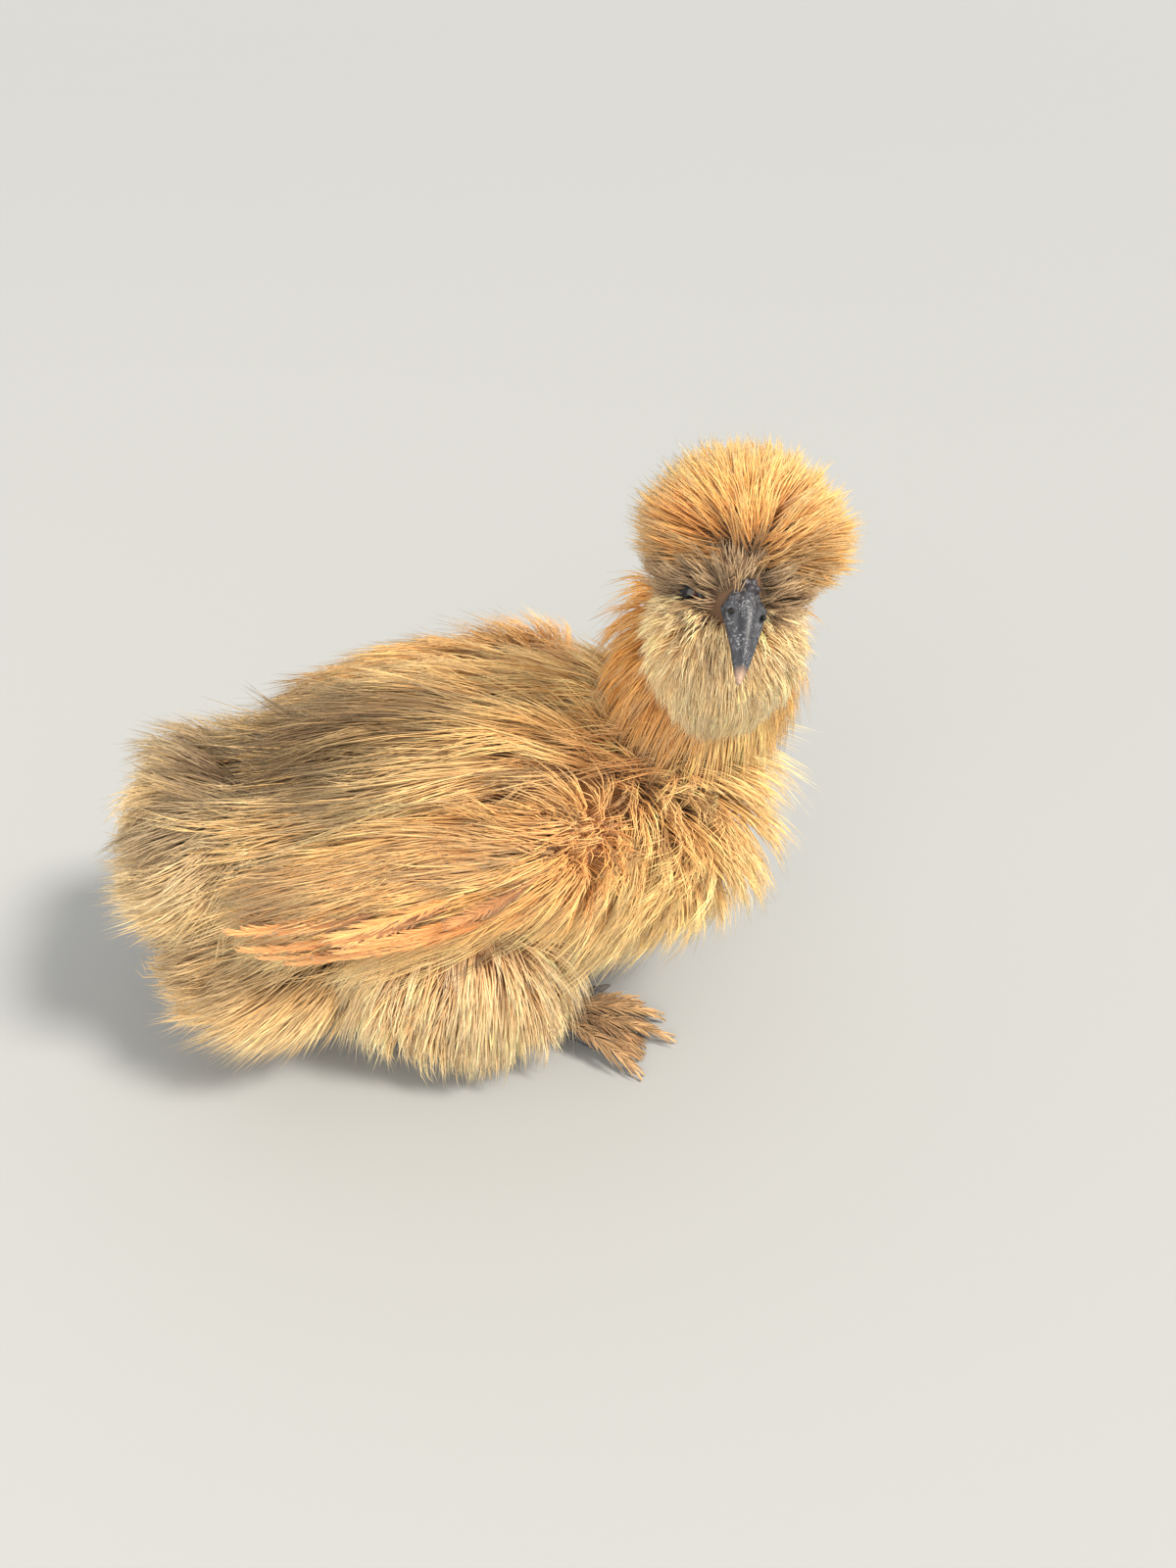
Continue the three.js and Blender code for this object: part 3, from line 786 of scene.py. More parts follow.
@dataclass
class Strands:
    """Fine tapered strands: the places of their rings, their way out, widths and colours."""

    spines: Array
    outward: Array
    wide: Array
    colour: Array
    patch: Array

    WIDTHS = (0.8, 1.0, 0.72)
    BROAD = 1.25
    DEEP = 0.8
    UV_PATCH = 0.003

    @classmethod
    def joined(cls, parts: Sequence[Strands]) -> Strands:
        """Return several groups of strands as one."""
        keys = ("spines", "outward", "wide", "colour", "patch")
        return cls(*(np.concatenate([getattr(part, key) for part in parts]) for key in keys))

    def corners(self) -> Array:
        """Return the ten points of each strand: three rings of three, then the tip."""
        ahead = np.gradient(self.spines, axis=1)
        ahead /= np.linalg.norm(ahead, axis=-1, keepdims=True) + 1e-12
        across = np.cross(ahead, self.outward[:, None, :])
        across /= np.linalg.norm(across, axis=-1, keepdims=True) + 1e-12
        above = np.cross(across, ahead)
        corners = []
        for ring, width in enumerate(self.WIDTHS):
            half = (self.wide * width / 2)[:, None]
            for turn in (math.pi / 2, math.pi * 7 / 6, math.pi * 11 / 6):
                corners.append(
                    self.spines[:, ring]
                    + across[:, ring] * half * math.cos(turn) * self.BROAD
                    + above[:, ring] * half * math.sin(turn) * self.DEEP
                )
        return np.stack([*corners, self.spines[:, 3]], axis=1)

    def build(self, name: str) -> Piece:
        """Return one mesh of closed, three-sided strands that end in a point."""
        verts = self.corners().reshape(-1, 3)
        faces = [(0, 2, 1)]
        for low in (0, 3):
            for k in range(3):
                a, b = low + k, low + (k + 1) % 3
                faces += [(a, b, b + 3), (a, b + 3, a + 3)]
        faces += [(6, 7, 9), (7, 8, 9), (8, 6, 9)]
        firsts = (np.arange(len(self.spines)) * 10)[:, None, None]
        tris = (np.array(faces)[None] + firsts).reshape(-1, 3)
        ring_of = np.array([0, 0, 0, 1, 1, 1, 2, 2, 2, 3])
        across_of = np.array([0, 1, 2, 0, 1, 2, 0, 1, 2, 1]) / 2
        uv = self.patch[:, None, :] + self.UV_PATCH * np.stack([across_of, ring_of / 3], axis=-1)[None]
        piece = array_mesh(name, verts, tris, uv.reshape(-1, 2))
        paint(piece, "coat", self.colour[:, ring_of].reshape(-1, 3))
        return piece


def array_mesh(name: str, verts: Array, tris: Array, uv: Array) -> Piece:
    """Make a mesh from arrays.

    Args:
        name: The piece's name.
        verts: Places in metres.
        tris: Three vertex numbers for each face.
        uv: The bake map's place for each vertex.

    Returns:
        The linked object.
    """
    mesh = bpy.data.meshes.new(name)
    mesh.vertices.add(len(verts))
    mesh.vertices.foreach_set("co", verts.astype(np.float32).ravel())
    mesh.loops.add(len(tris) * 3)
    mesh.loops.foreach_set("vertex_index", tris.astype(np.int32).ravel())
    mesh.polygons.add(len(tris))
    mesh.polygons.foreach_set("loop_start", np.arange(0, len(tris) * 3, 3, dtype=np.int32))
    mesh.polygons.foreach_set("use_smooth", np.ones(len(tris), bool))
    mesh.update(calc_edges=True)
    layer = mesh.uv_layers.new(name="OFBake")
    layer.data.foreach_set("uv", uv[tris.ravel()].astype(np.float32).ravel())
    piece = bpy.data.objects.new(name, mesh)
    bpy.context.collection.objects.link(piece)
    return piece


def swirl(places: Array, size: float, phase: float) -> Array:
    """Return a slow, smooth wander from -1 to 1 over places."""
    x, y, z = (places / size).T
    first = np.sin(x * 1.7 + 2.1 * np.sin(y * 1.3 + phase) + phase)
    return (first + np.sin(z * 1.9 + 1.7 * np.sin(x + phase))) / 2


def mild(rng: Draws, size: int | tuple[int, ...]) -> Array:
    """Draw normal values kept within two steps of nought."""
    return np.clip(rng.standard_normal(size), -2.0, 2.0)


@dataclass
class Coat:
    """The down of one form, grown as tufts of strands that meet toward their tips."""

    tufts: Tufts
    model: Model

    STRAY = 4.5
    LIVELY = 0.1
    WARMTH = np.array([0.02, -0.01, -0.06])
    FLECK = 0.8
    SHORTER = 0.42
    RUN_SPREAD = 0.2
    WIDTH_SPREAD = (0.7, 1.3)
    WAVES = (26.0, 11.0, 17.0)
    WAVE_REACH = 0.025
    COVERED = 0.86
    FRONT = (0.46, 0.36)
    OPENING = (1.9, 0.12)

    def roots(self, rng: Draws) -> tuple[Array, Array]:
        """Spread the tufts evenly over the part of the form that nothing covers."""
        grow = self.tufts
        table = np.linspace(grow.start[0], grow.start[1], 200)
        girth = grow.form.full(np.clip(table, 0.03, 0.97))
        weight = np.cumsum(np.sin(np.pi * np.clip(table, 0.02, 0.97)) * girth)
        many = grow.count * 6
        u = np.interp(rng.random(many) * weight[-1], weight, table)
        v = rng.uniform(*grow.around, many)
        keep = np.ones(many, bool)
        for form in grow.over:
            hidden = np.ones(many, bool)
            for s in (0.35, 1.0):
                share = grow.skin + (0.95 - grow.skin) * s
                places = grow.form.points(u + grow.run * s, v, np.full(many, share))
                hidden &= form.holds(places, self.COVERED)
            keep &= ~hidden
        return u[keep][:grow.count], v[keep][:grow.count]

    def strands(self) -> Strands:
        """Return every strand of the form's down."""
        grow = self.tufts
        form = grow.form
        rng = np.random.default_rng(grow.seed)
        u, v = self.roots(rng)
        many = len(u)
        tuft = np.repeat(np.arange(many), grow.strands)
        count = len(tuft)
        surface = form.points(u, v, np.full(many, 0.85))
        sway = swirl(surface, self.WAVES[0], grow.seed * 0.37)
        ripple = swirl(surface, self.WAVES[1], grow.seed * 0.61 + 2)
        reach = rng.uniform(*grow.tips, many) + self.WAVE_REACH * ripple
        run = grow.run * (1 + self.RUN_SPREAD * mild(rng, many))
        twist = grow.twist * sway + abs(grow.twist) * 0.7 * ripple
        length = 1 - self.SHORTER * rng.random(count) ** 2
        disc = grow.spread * np.sqrt(rng.random(count))
        turn = rng.uniform(0, 2 * np.pi, count)
        u0, v0 = u[tuft], v[tuft]
        base = form.points(u0, v0, np.full(count, grow.skin))
        out = form.points(u0, v0, np.full(count, grow.skin + 0.1)) - base
        out /= np.linalg.norm(out, axis=-1, keepdims=True)
        side = np.cross(out, rng.standard_normal((count, 3)))
        side /= np.linalg.norm(side, axis=-1, keepdims=True)
        other = np.cross(out, side)
        offset = side * (disc * np.cos(turn))[:, None] + other * (disc * np.sin(turn))[:, None]
        loose = mild(rng, (count, 3)) * grow.tousle
        waves = [swirl(surface, self.WAVES[2], grow.seed + k * 2.4) for k in range(3)]
        drift = np.stack(waves, axis=-1) * grow.sweep
        drift = (drift + mild(rng, (many, 3)) * grow.sweep * 0.4)[tuft]
        drift -= out * np.maximum((drift * out).sum(-1), 0)[:, None]
        rings = []
        for s in RING_SPOTS:
            far = s * length
            share = grow.skin + (reach[tuft] - grow.skin) * far**0.8
            long, angle = self.flow(u0, v0, run[tuft] * far, grow.fall * far)
            centre = form.points(long, angle + twist[tuft] * far**1.5, share)
            place = centre + offset * (1 - grow.gather * far)[:, None] + (loose + drift) * (far**2)[:, None]
            place[:, 2] = np.maximum(place[:, 2] - grow.hang * far**2, 0.9 + 0.8 * far)
            rings.append(place)
        spine = np.stack(rings, axis=1)
        colour = self.tints(rng, spine, tuft, sway)
        spot = np.stack([(v0 % (2 * np.pi)) / (2 * np.pi), np.clip(u0, 0, 1)], axis=-1)
        patch = np.array(grow.tile) / 4 + 0.01 + 0.22 * spot
        wide = grow.wide * rng.uniform(*self.WIDTH_SPREAD, count)
        keep = self.clear(spine)
        return Strands(self.model.place(spine[keep]), out[keep], wide[keep] * MM, colour[keep], patch[keep])

    def tints(self, rng: Draws, spine: Array, tuft: Array, sway: Array) -> Array:
        """Colour the strands, each tuft a little apart from the next and some flecked dark.

        Args:
            rng: The form's random draws.
            spine: The strands' rings, in millimetres.
            tuft: The number of each strand's tuft.
            sway: The slow wander at each tuft, from -1 to 1.

        Returns:
            A linear colour for each ring of each strand.
        """
        many, count = len(sway), len(tuft)
        astray = (mild(rng, (many, 3)) * self.STRAY)[tuft][:, None, :]
        places = np.repeat(spine[:, 2:3], 4, axis=1) + astray
        colour = MARKINGS.colours(self.tufts.form.part, places, np.tile(RING_TINTS, (count, 1)))
        lively = (
            1 + self.LIVELY * rng.standard_normal((many, 1, 1))[tuft]
            + self.LIVELY * rng.standard_normal((count, 1, 1))
        )
        warm = 1 + self.WARMTH * rng.standard_normal((many, 1, 1))[tuft]
        flecked = (rng.random(many) < self.tufts.flecks * (1 + sway))[tuft]
        dark = flecked[:, None, None] * RING_FLECKS[:, None] * self.FLECK
        colour = np.clip(colour * lively * warm, *COLOUR_LIMITS)
        return colour * (1 - dark) + np.array(GREY_BROWN) * dark

    def flow(
        self, u: Array, v: Array, run: Array, fall: Array,
    ) -> tuple[Array, Array]:
        """Carry places along the lie of the coat.

        Args:
            u: Lengths at the roots.
            v: Angles at the roots.
            run: How far along the form the place moves.
            fall: How far down over the front end it moves.

        Returns:
            The lengths and angles reached.
        """
        if not self.tufts.fall:
            return u + run, v
        front = np.clip((self.FRONT[0] - u) / self.FRONT[1], 0.0, 1.0)
        reach = u + run * (1 - 0.6 * front)
        high = reach * np.cos(v) - fall * front
        wide = reach * np.sin(v)
        return np.hypot(high, wide), np.arctan2(wide, high)

    def clear(self, spine: Array) -> Array:
        """Tell which strands stay out of the openings before the eyes."""
        keep = np.ones(len(spine), bool)
        if self.tufts.eyes:
            for side in (-1, 1):
                way = unit(HEAD_ACROSS * side * 0.75 + np.array((0.0, -0.85, 0.35)))
                off = spine[:, 1:] - (eye_place(side) + way * 2.0)
                far = off @ way
                wide = np.linalg.norm(off - far[..., None] * way, axis=-1)
                keep &= ~((far > 0) & (wide < self.OPENING[0] + self.OPENING[1] * far)).any(1)
        return keep

    def build(self, material: Material) -> Piece:
        """Grow the down and dress it."""
        return dress(self.strands().build(self.tufts.name), material, self.tufts.slot)


@dataclass
class Skin:
    """The one skin under the whole coat, from the shins to the crown."""

    model: Model
    shares: dict[Part, float] = field(default_factory=lambda: {
        Part.TORSO: 0.6, Part.RUMP: 0.58, Part.NECK: 0.56, Part.TAIL: 0.5, Part.WING: 0.5, Part.THIGH: 0.55,
    })
    forms: tuple[Form, ...] = (TORSO, RUMP, NECK, TAIL, LEFT_WING, RIGHT_WING, LEFT_THIGH, RIGHT_THIGH)
    skull: Point = (51, -32, 192)
    skull_half: Point = (13.0, 19.5, 15.5)
    voxel: float = 1.8
    smooth: int = 12
    along: float = 0.15

    def blobs(self) -> tuple[Array, Array]:
        """Return the balls that fill the body, in millimetres."""
        centres = [self.skull]
        sizes = [self.skull_half]
        for form in self.forms:
            share = self.shares[form.part]
            for u in np.linspace(0.2, 0.8, 6):
                ring = form.points(np.full(4, u), np.array([0, 0.5, 1, 1.5]) * np.pi, np.full(4, share))
                middle = ring.mean(0)
                reach = np.abs(ring - middle).max(0)
                chord = np.linalg.norm(np.subtract(form.rear, form.front)) * share
                centres.append(tuple(middle))
                sizes.append(tuple(np.maximum(reach, chord * 0.17)))
        return np.array(centres, float), np.array(sizes, float)

    def build(self, material: Material) -> Piece:
        """Model the skin and mark it as the down over it is marked, with painted shade on the skin of the
        face.
        """
        centres, sizes = self.blobs()
        skin = balls("skin", self.model.place(centres), sizes * MM, self.voxel * MM, self.smooth)
        places = (points_of(skin) - self.model.origin) / MM
        colour = MARKINGS.colours(Part.TORSO, places, np.full(len(places), self.along))
        for form in (RUMP, TAIL, LEFT_WING, RIGHT_WING, LEFT_THIGH, RIGHT_THIGH, NECK, BEARD, CREST, FACE):
            # The skin in the whole face form, not only its inner part, takes the face's dark colour near the
            # roots. That is partly the face's own dark grey-brown and partly painted shade where the skin
            # shows through the openings before the eyes.
            inside = form.holds(places, 1.0 if form is FACE else 0.75)
            colour[inside] = MARKINGS.colours(form.part, places[inside], np.full(inside.sum(), self.along))
        paint(skin, "coat", colour)
        nodes = ("head", "neck", "torso", "tail", "left_wing", "right_wing", "left_thigh", "right_thigh")
        return dress(skin, material, "body_fluff", *nodes)


@dataclass
class Head:
    """The bare parts of the head: eyes with their lids, beak and comb."""

    model: Model
    eye_radius: float = 5.0
    lid_radius: float = 4.7
    lid_tube: float = 1.2
    lid_lift: float = 2.4
    lid_height: float = 0.62
    beak_base: Point = (52, -47, 197.0)
    beak_tip: Point = (46.4, -72, 184.4)
    beak_half: float = 6.9
    beak_heights: tuple = ((0, 0.3, 0.6, 0.85, 1), (0.8, 1.0, 0.74, 0.42, 0.12))
    beak_widths: tuple = ((0, 0.2, 0.5, 0.8, 1), (0.62, 1.0, 0.72, 0.42, 0.14))
    beak_crown: Point = (0.42, 1.0, 0.8)
    pale_reach: float = 4.6
    nostril: Point = (5.0, 8.6, 3.6)
    nostril_half: Point = (0.9, 1.9, 0.9)
    comb_place: Point = (53.2, -49.6, 200.8)
    comb_spread: float = 0.72
    comb_bulbs: tuple[Point, ...] = (
        (0, 0, 0), (-2.6, 1.4, -0.8), (2.7, 1.2, -1.2), (-1.4, 3.6, 1.4), (1.8, 3.4, 1.0), (0.2, -1.4, -2.2),
    )

    def gaze(self, side: int) -> Vector:
        """Return the way an eye looks out."""
        return Vector(unit(HEAD_ACROSS * side + np.array((0.0, -0.75, 0.1))))

    def eye(self, side: int, name: str, material: Material) -> None:
        """Model an eyeball, with how far each point is from its pupil."""
        deselect()
        look, centre = self.gaze(side), self.model.place(eye_place(side))
        bpy.ops.mesh.primitive_uv_sphere_add(
            segments=48, ring_count=24, radius=self.eye_radius * MM, location=tuple(centre),
        )
        bpy.context.object.rotation_euler = look.to_track_quat("Z", "Y").to_euler()
        ball = finish(f"{name}_ball")
        turned = [(vertex.co - Vector(centre)).angle(look) for vertex in ball.data.vertices]
        paint(ball, "iris", np.array(turned) / (math.pi / 2))
        dress(ball, material, "eye", name)

    def lids(self, side: int, name: str, material: Material) -> None:
        """Model the lids: a narrow ring of bare skin round the eye."""
        deselect()
        look = self.gaze(side)
        bpy.ops.mesh.primitive_torus_add(
            major_radius=self.lid_radius * MM, minor_radius=self.lid_tube * MM,
            major_segments=40, minor_segments=12,
            location=Vector(self.model.place(eye_place(side))) + look * self.lid_lift * MM,
            rotation=look.to_track_quat("Z", "Y").to_euler(),
        )
        bpy.context.object.scale = (1.0, self.lid_height, 1.0)
        dress(finish(f"{name}_lids"), material, "comb_skin")

    def beak(self, horn: Material, pit: Material) -> None:
        """Model the two halves of the beak, parted by the line of the mouth, and the nostrils."""
        base, tip = np.array(self.beak_base), np.array(self.beak_tip)
        ahead = unit(tip - base)
        across = unit(HEAD_ACROSS - ahead * float(HEAD_ACROSS @ ahead))
        above = np.cross(across, ahead)
        above = above if above[2] > 0 else -above
        length = float(np.linalg.norm(tip - base))
        turn = Matrix([across, ahead, above]).transposed()
        s = np.linspace(0, 1, 26)
        size, broad = np.interp(s, *self.beak_heights), np.interp(s, *self.beak_widths)
        for name, high, reach, droop in (("upper_beak", 6.4, 1.0, 3.0), ("lower_beak", -3.6, 0.82, 1.6)):
            lift = above * (high * 0.34 * size - droop * s**2)[:, None]
            centre = base + ahead * (s * length * reach)[:, None] + lift
            half = np.stack([self.beak_half * broad, np.full(26, 1.6), abs(high) * 0.5 * size], axis=-1)
            ridge = centre + above * (high * 0.3 * size)[:, None]
            spots = np.concatenate([centre, ridge])
            sizes = np.maximum(np.concatenate([half, half * np.array(self.beak_crown)]), 0.5)
            piece = balls(name, self.model.place(spots), sizes * MM, 0.4 * MM, 4, turn)
            far = np.linalg.norm(points_of(piece) - self.model.place(tip), axis=1)
            paint(piece, "pale", np.maximum(0.0, 1 - far / (self.pale_reach * MM)))
            dress(piece, horn, "beak", name)
        # The nostrils are small balls in a near-black finish, painted shade for the openings.
        wide, along, up = self.nostril
        spots = np.array([base + ahead * along + across * side * wide + above * up for side in (-1, 1)])
        sizes = np.full((2, 3), self.nostril_half) * MM
        dress(balls("nostrils", self.model.place(spots), sizes, 0.25 * MM, 1, turn), pit, "beak")

    def comb(self, material: Material) -> None:
        """Model the small walnut comb as close bulbs."""
        spots = np.array(self.comb_bulbs) * self.comb_spread + np.array(self.comb_place)
        radii = np.array([1.6 - 0.06 * k for k in range(len(spots))])
        piece = balls("comb_bulbs", self.model.place(spots), radii * MM, 0.35 * MM, 2)
        dress(piece, material, "comb_skin", "comb")


@dataclass
class Legs:
    """The shanks and five-toed feet, with their claws."""

    model: Model
    foot_x: tuple[float, float] = (-12.0, -32.0)
    foot_y: float = 39.0
    ankle: float = 10.0
    pad_half: Point = (8.0, 8.0, 5.4)
    toe_radius: float = 3.3
    toes: tuple[tuple[str, float, float, float], ...] = (
        ("inner", 32, 27, 0), ("middle", 2, 36, 0), ("outer", -28, 29, 0),
        ("hind", 162, 24, 0), ("fifth", 128, 19, 9),
    )
    shank_radius: float = 4.2
    claw: float = 8.0

    def centre(self, side: int) -> Point:
        """Return the middle of a foot on the floor, in millimetres."""
        return (self.foot_x[0] if side < 0 else self.foot_x[1], side * self.foot_y, 0.0)

    def line(self, side: int, turn: float, length: float, rise: float) -> list[Point]:
        """Return the points that a toe runs through."""
        x, y, _ = self.centre(side)
        angle = math.radians(turn * -side)
        low = self.toe_radius - 0.5
        spots = (
            (0, self.ankle - 3), (length * 0.35, low + 2.5 + rise * 0.3),
            (length * 0.75, low + rise * 0.7), (length, low + rise),
        )
        return [(x + far * math.cos(angle), y + far * math.sin(angle), z) for far, z in spots]

    def build(self, skin: Material, horn: Material) -> None:
        """Model both legs."""
        for side, name in ((-1, "right"), (1, "left")):
            x, y, floor = self.centre(side)
            centres, sizes = [(x, y, self.ankle - 4.4)], [self.pad_half]
            for toe, turn, length, rise in self.toes:
                places = along_line(self.line(side, turn, length, rise), 13)
                for k, place in enumerate(places):
                    swell = 1.1 - 0.22 * k / 12 + 0.1 * math.cos(k * math.pi / 2)
                    centres.append(tuple(place))
                    sizes.append([self.toe_radius * swell] * 3)
                self.claw_piece(f"{name}_{toe}_claw", places[-1], places[-1] - places[-3], horn)
            places = self.model.place(np.array(centres))
            foot = balls(f"{name}_foot_skin", places, np.array(sizes) * MM, 0.6 * MM, 3)
            low = self.model.place((x, y, floor))[2]
            for vertex in foot.data.vertices:
                vertex.co.z = max(vertex.co.z, low)
            dress(foot, skin, "leg_skin", f"{name}_foot")
            up = self.model.place(along_line([(x, y, self.ankle + 2), (x - 6, y, 26), (x - 12, y, 44)], 18))
            shank = balls(f"{name}_shank_skin", up, np.full(18, self.shank_radius) * MM, 0.7 * MM, 3)
            dress(shank, skin, "leg_skin", f"{name}_shank")

    def claw_piece(self, name: str, root: Array, way: Array, horn: Material) -> None:
        """Model one claw, bent down from the end of its toe."""
        ahead = unit((way[0], way[1], 0))
        s = np.linspace(0, 1, 14)
        spots = root + ahead * (s * (self.claw + 1.2))[:, None]
        spots[:, 2] += 0.7 * np.sin(np.pi * s) - 1.4 * s
        radii = 2.0 * (1 - s) ** 0.8 + 0.32
        dress(balls(name, self.model.place(spots), radii * MM, 0.3 * MM, 2), horn, "claw", name)


@dataclass
class Studio:
    """The floor, the lights and the camera at the photo's angle and framing."""

    model: Model
    camera_place: Point = (-35.5, -337.0, 360.0)
    azimuth: float = math.radians(-8.0)
    elevation: float = math.radians(38.0)
    lens: float = 25.875
    floor_size: float = 60.0
    sun_way: Point = (-0.62, 0.36, -0.85)
    sun_energy: float = 4.5
    sun_angle: float = math.radians(14.0)
    sun_colour: Point = (1.0, 0.935, 0.84)
    fill_place: Point = (-0.9, -1.5, 0.7)
    fill_aim: Point = (0, 0, 0.1)
    fill_size: float = 1.6
    fill_energy: float = 26.0
    fill_colour: Point = (1.0, 0.94, 0.86)
    sky_colour: tuple[float, ...] = (1.0, 0.985, 0.96, 1.0)
    sky_strength: float = 0.9

    def floor(self) -> None:
        """Lay a pale, level floor."""
        deselect()
        bpy.ops.mesh.primitive_grid_add(x_subdivisions=8, y_subdivisions=8, size=self.floor_size)
        ground = finish("floor")
        ground.data.materials.append(FloorFinish().build())

    def lamp(self, name: str, kind: str, way: Vector, energy: float, colour: Point) -> Piece:
        """Add a light that shines along a way."""
        data = bpy.data.lights.new(name, kind)
        data.energy = energy
        data.color = colour
        made = bpy.data.objects.new(name, data)
        made.rotation_euler = way.to_track_quat("-Z", "Y").to_euler()
        bpy.context.collection.objects.link(made)
        return made

    def lights(self) -> None:
        """Add the soft key light from high on the right, the fill and the sky."""
        sun = self.lamp("key", "SUN", Vector(self.sun_way), self.sun_energy, self.sun_colour)
        sun.data.angle = self.sun_angle
        way = Vector(self.fill_aim) - Vector(self.fill_place)
        fill = self.lamp("fill", "AREA", way, self.fill_energy, self.fill_colour)
        fill.data.size = self.fill_size
        fill.location = self.fill_place
        world = bpy.data.worlds.new("studio")
        world.use_nodes = True
        sky = world.node_tree.nodes["Background"]
        sky.inputs["Color"].default_value = self.sky_colour
        sky.inputs["Strength"].default_value = self.sky_strength
        bpy.context.scene.world = world

    def camera(self) -> None:
        """Set the camera where the photo was taken from."""
        a, e = self.azimuth, self.elevation
        back = Vector((math.sin(a) * math.cos(e), -math.cos(a) * math.cos(e), math.sin(e)))
        right = Vector((math.cos(a), math.sin(a), 0.0))
        data = bpy.data.cameras.new("camera")
        data.lens = self.lens
        data.sensor_width = 36.0
        data.clip_start = 0.01
        eye = bpy.data.objects.new("camera", data)
        turn = Matrix((right, back.cross(right), back)).transposed().to_4x4()
        eye.matrix_world = Matrix.Translation(Vector(self.model.place(self.camera_place))) @ turn
        bpy.context.collection.objects.link(eye)
        bpy.context.scene.camera = eye

    def build(self) -> None:
        """Set up the studio."""
        self.floor()
        self.lights()
        self.camera()
        bpy.context.scene.view_settings.view_transform = "Standard"


def head_coats() -> tuple[Tufts, ...]:
    """Return how the down of the head and the neck grows."""
    return (
        Tufts(
            "crest_down", "crest_fluff", CREST, 0.42, 1100, (0.1, 0.86), 0.14, 0.1, 3.2, 0.6, 0.42,
            (0.88, 1.02), 11, (0, 0), tousle=1.3, sweep=2.2, over=(BEARD,), eyes=True,
        ),
        Tufts(
            "face_down", "crest_fluff", FACE, 0.6, 850, (0.05, 0.9), 0.12, 0.16, 2.0, 0.4, 0.36,
            (0.84, 1.04), 22, (0, 3), tousle=1.1, sweep=1.8, flecks=0.22, eyes=True,
        ),
        Tufts(
            "beard_down", "crest_fluff", BEARD, 0.5, 700, (0.06, 0.8), 0.17, 0.1, 2.8, 0.6, 0.4,
            (0.88, 1.0), 12, (1, 0), tousle=1.0, sweep=2.0, over=(NECK, CREST, FACE), eyes=True,
        ),
        Tufts(
            "neck_down", "body_fluff", NECK, 0.44, 950, (0.97, 0.2), -0.28, 0.14, 3.4, 0.62, 0.44,
            (0.86, 1.02), 13, (2, 0), over=(CREST, BEARD, FACE),
        ),
    )


def body_coats() -> tuple[Tufts, ...]:
    """Return how the down of the body grows."""
    wings, thighs = (LEFT_WING, RIGHT_WING), (LEFT_THIGH, RIGHT_THIGH)
    return (
        Tufts(
            "breast_down", "body_fluff", TORSO, 0.62, 1000, (0.0, 0.34), 0.13, 0.1, 4.2, 0.6, 0.5,
            (0.88, 1.0), 14, (3, 0), tousle=1.6, over=thighs, hang=4.0, fall=0.13, flecks=0.03,
        ),
        Tufts(
            "back_down", "body_fluff", TORSO, 0.62, 1250, (0.17, 0.86), 0.15, 0.2, 4.4, 0.72, 0.46,
            (0.88, 1.05), 15, (0, 1), tousle=2.6, sweep=12.0, flecks=0.14,
            over=(NECK, TAIL, RUMP) + wings + thighs,
        ),
        Tufts(
            "rump_down", "body_fluff", RUMP, 0.6, 900, (0.3, 0.84), 0.18, 0.06, 4.4, 0.65, 0.5,
            (0.88, 1.02), 16, (1, 1), tousle=2.2, sweep=5.0, hang=5.0, flecks=0.05,
            over=(TAIL, TORSO) + thighs,
        ),
        Tufts(
            "tail_down", "body_fluff", TAIL, 0.52, 700, (0.14, 0.8), 0.2, 0.14, 4.2, 0.65, 0.46,
            (0.88, 1.02), 17, (2, 1), tousle=2.2, sweep=8.0, flecks=0.06, over=(TORSO,) + wings,
        ),
    )


def limb_coats() -> tuple[Tufts, ...]:
    """Return how the down of the wings and thighs grows, the right before the left."""
    wings = [
        Tufts(
            f"{name}_wing_down", "wing_feathers", form, 0.52, 740, (0.05, 0.8), 0.2, 0.2, 4.0, 0.65, 0.48,
            (0.88, 1.0), 18 + k, tile, tousle=2.4, sweep=8.0, flecks=0.09, over=(NECK,),
            around=(k * math.pi, (k + 1) * math.pi),
        )
        for k, (name, form, tile) in enumerate((("right", RIGHT_WING, (3, 1)), ("left", LEFT_WING, (0, 2))))
    ]
    sides = (("right", RIGHT_THIGH, RIGHT_WING, (1, 2)), ("left", LEFT_THIGH, LEFT_WING, (2, 2)))
    thighs = [
        Tufts(
            f"{name}_thigh_down", "leg_fluff", form, 0.56, 600, (0.2, 0.84), 0.22, 0.06, 4.0, 0.62, 0.46,
            (0.88, 1.01), 20 + k, tile, tousle=1.8, hang=2.0, over=(wing, TORSO),
        )
        for k, (name, form, wing, tile) in enumerate(sides)
    ]
    return (*wings, *thighs)


@dataclass(frozen=True)
class Feather:
    """One loose-barbed feather: root, bend and tip in millimetres, its outer side, width and tints."""

    root: Point
    bend: Point
    tip: Point
    out: Point
    wide: float
    low: Point
    high: Point
    bars: float = 0.0

    def spine(self, s: Array) -> Array:
        """Return places along the shaft."""
        s = s[..., None]
        root, bend, tip = (np.array(p, float) for p in (self.root, self.bend, self.tip))
        return (1 - s) ** 2 * root + 2 * s * (1 - s) * bend + s**2 * tip


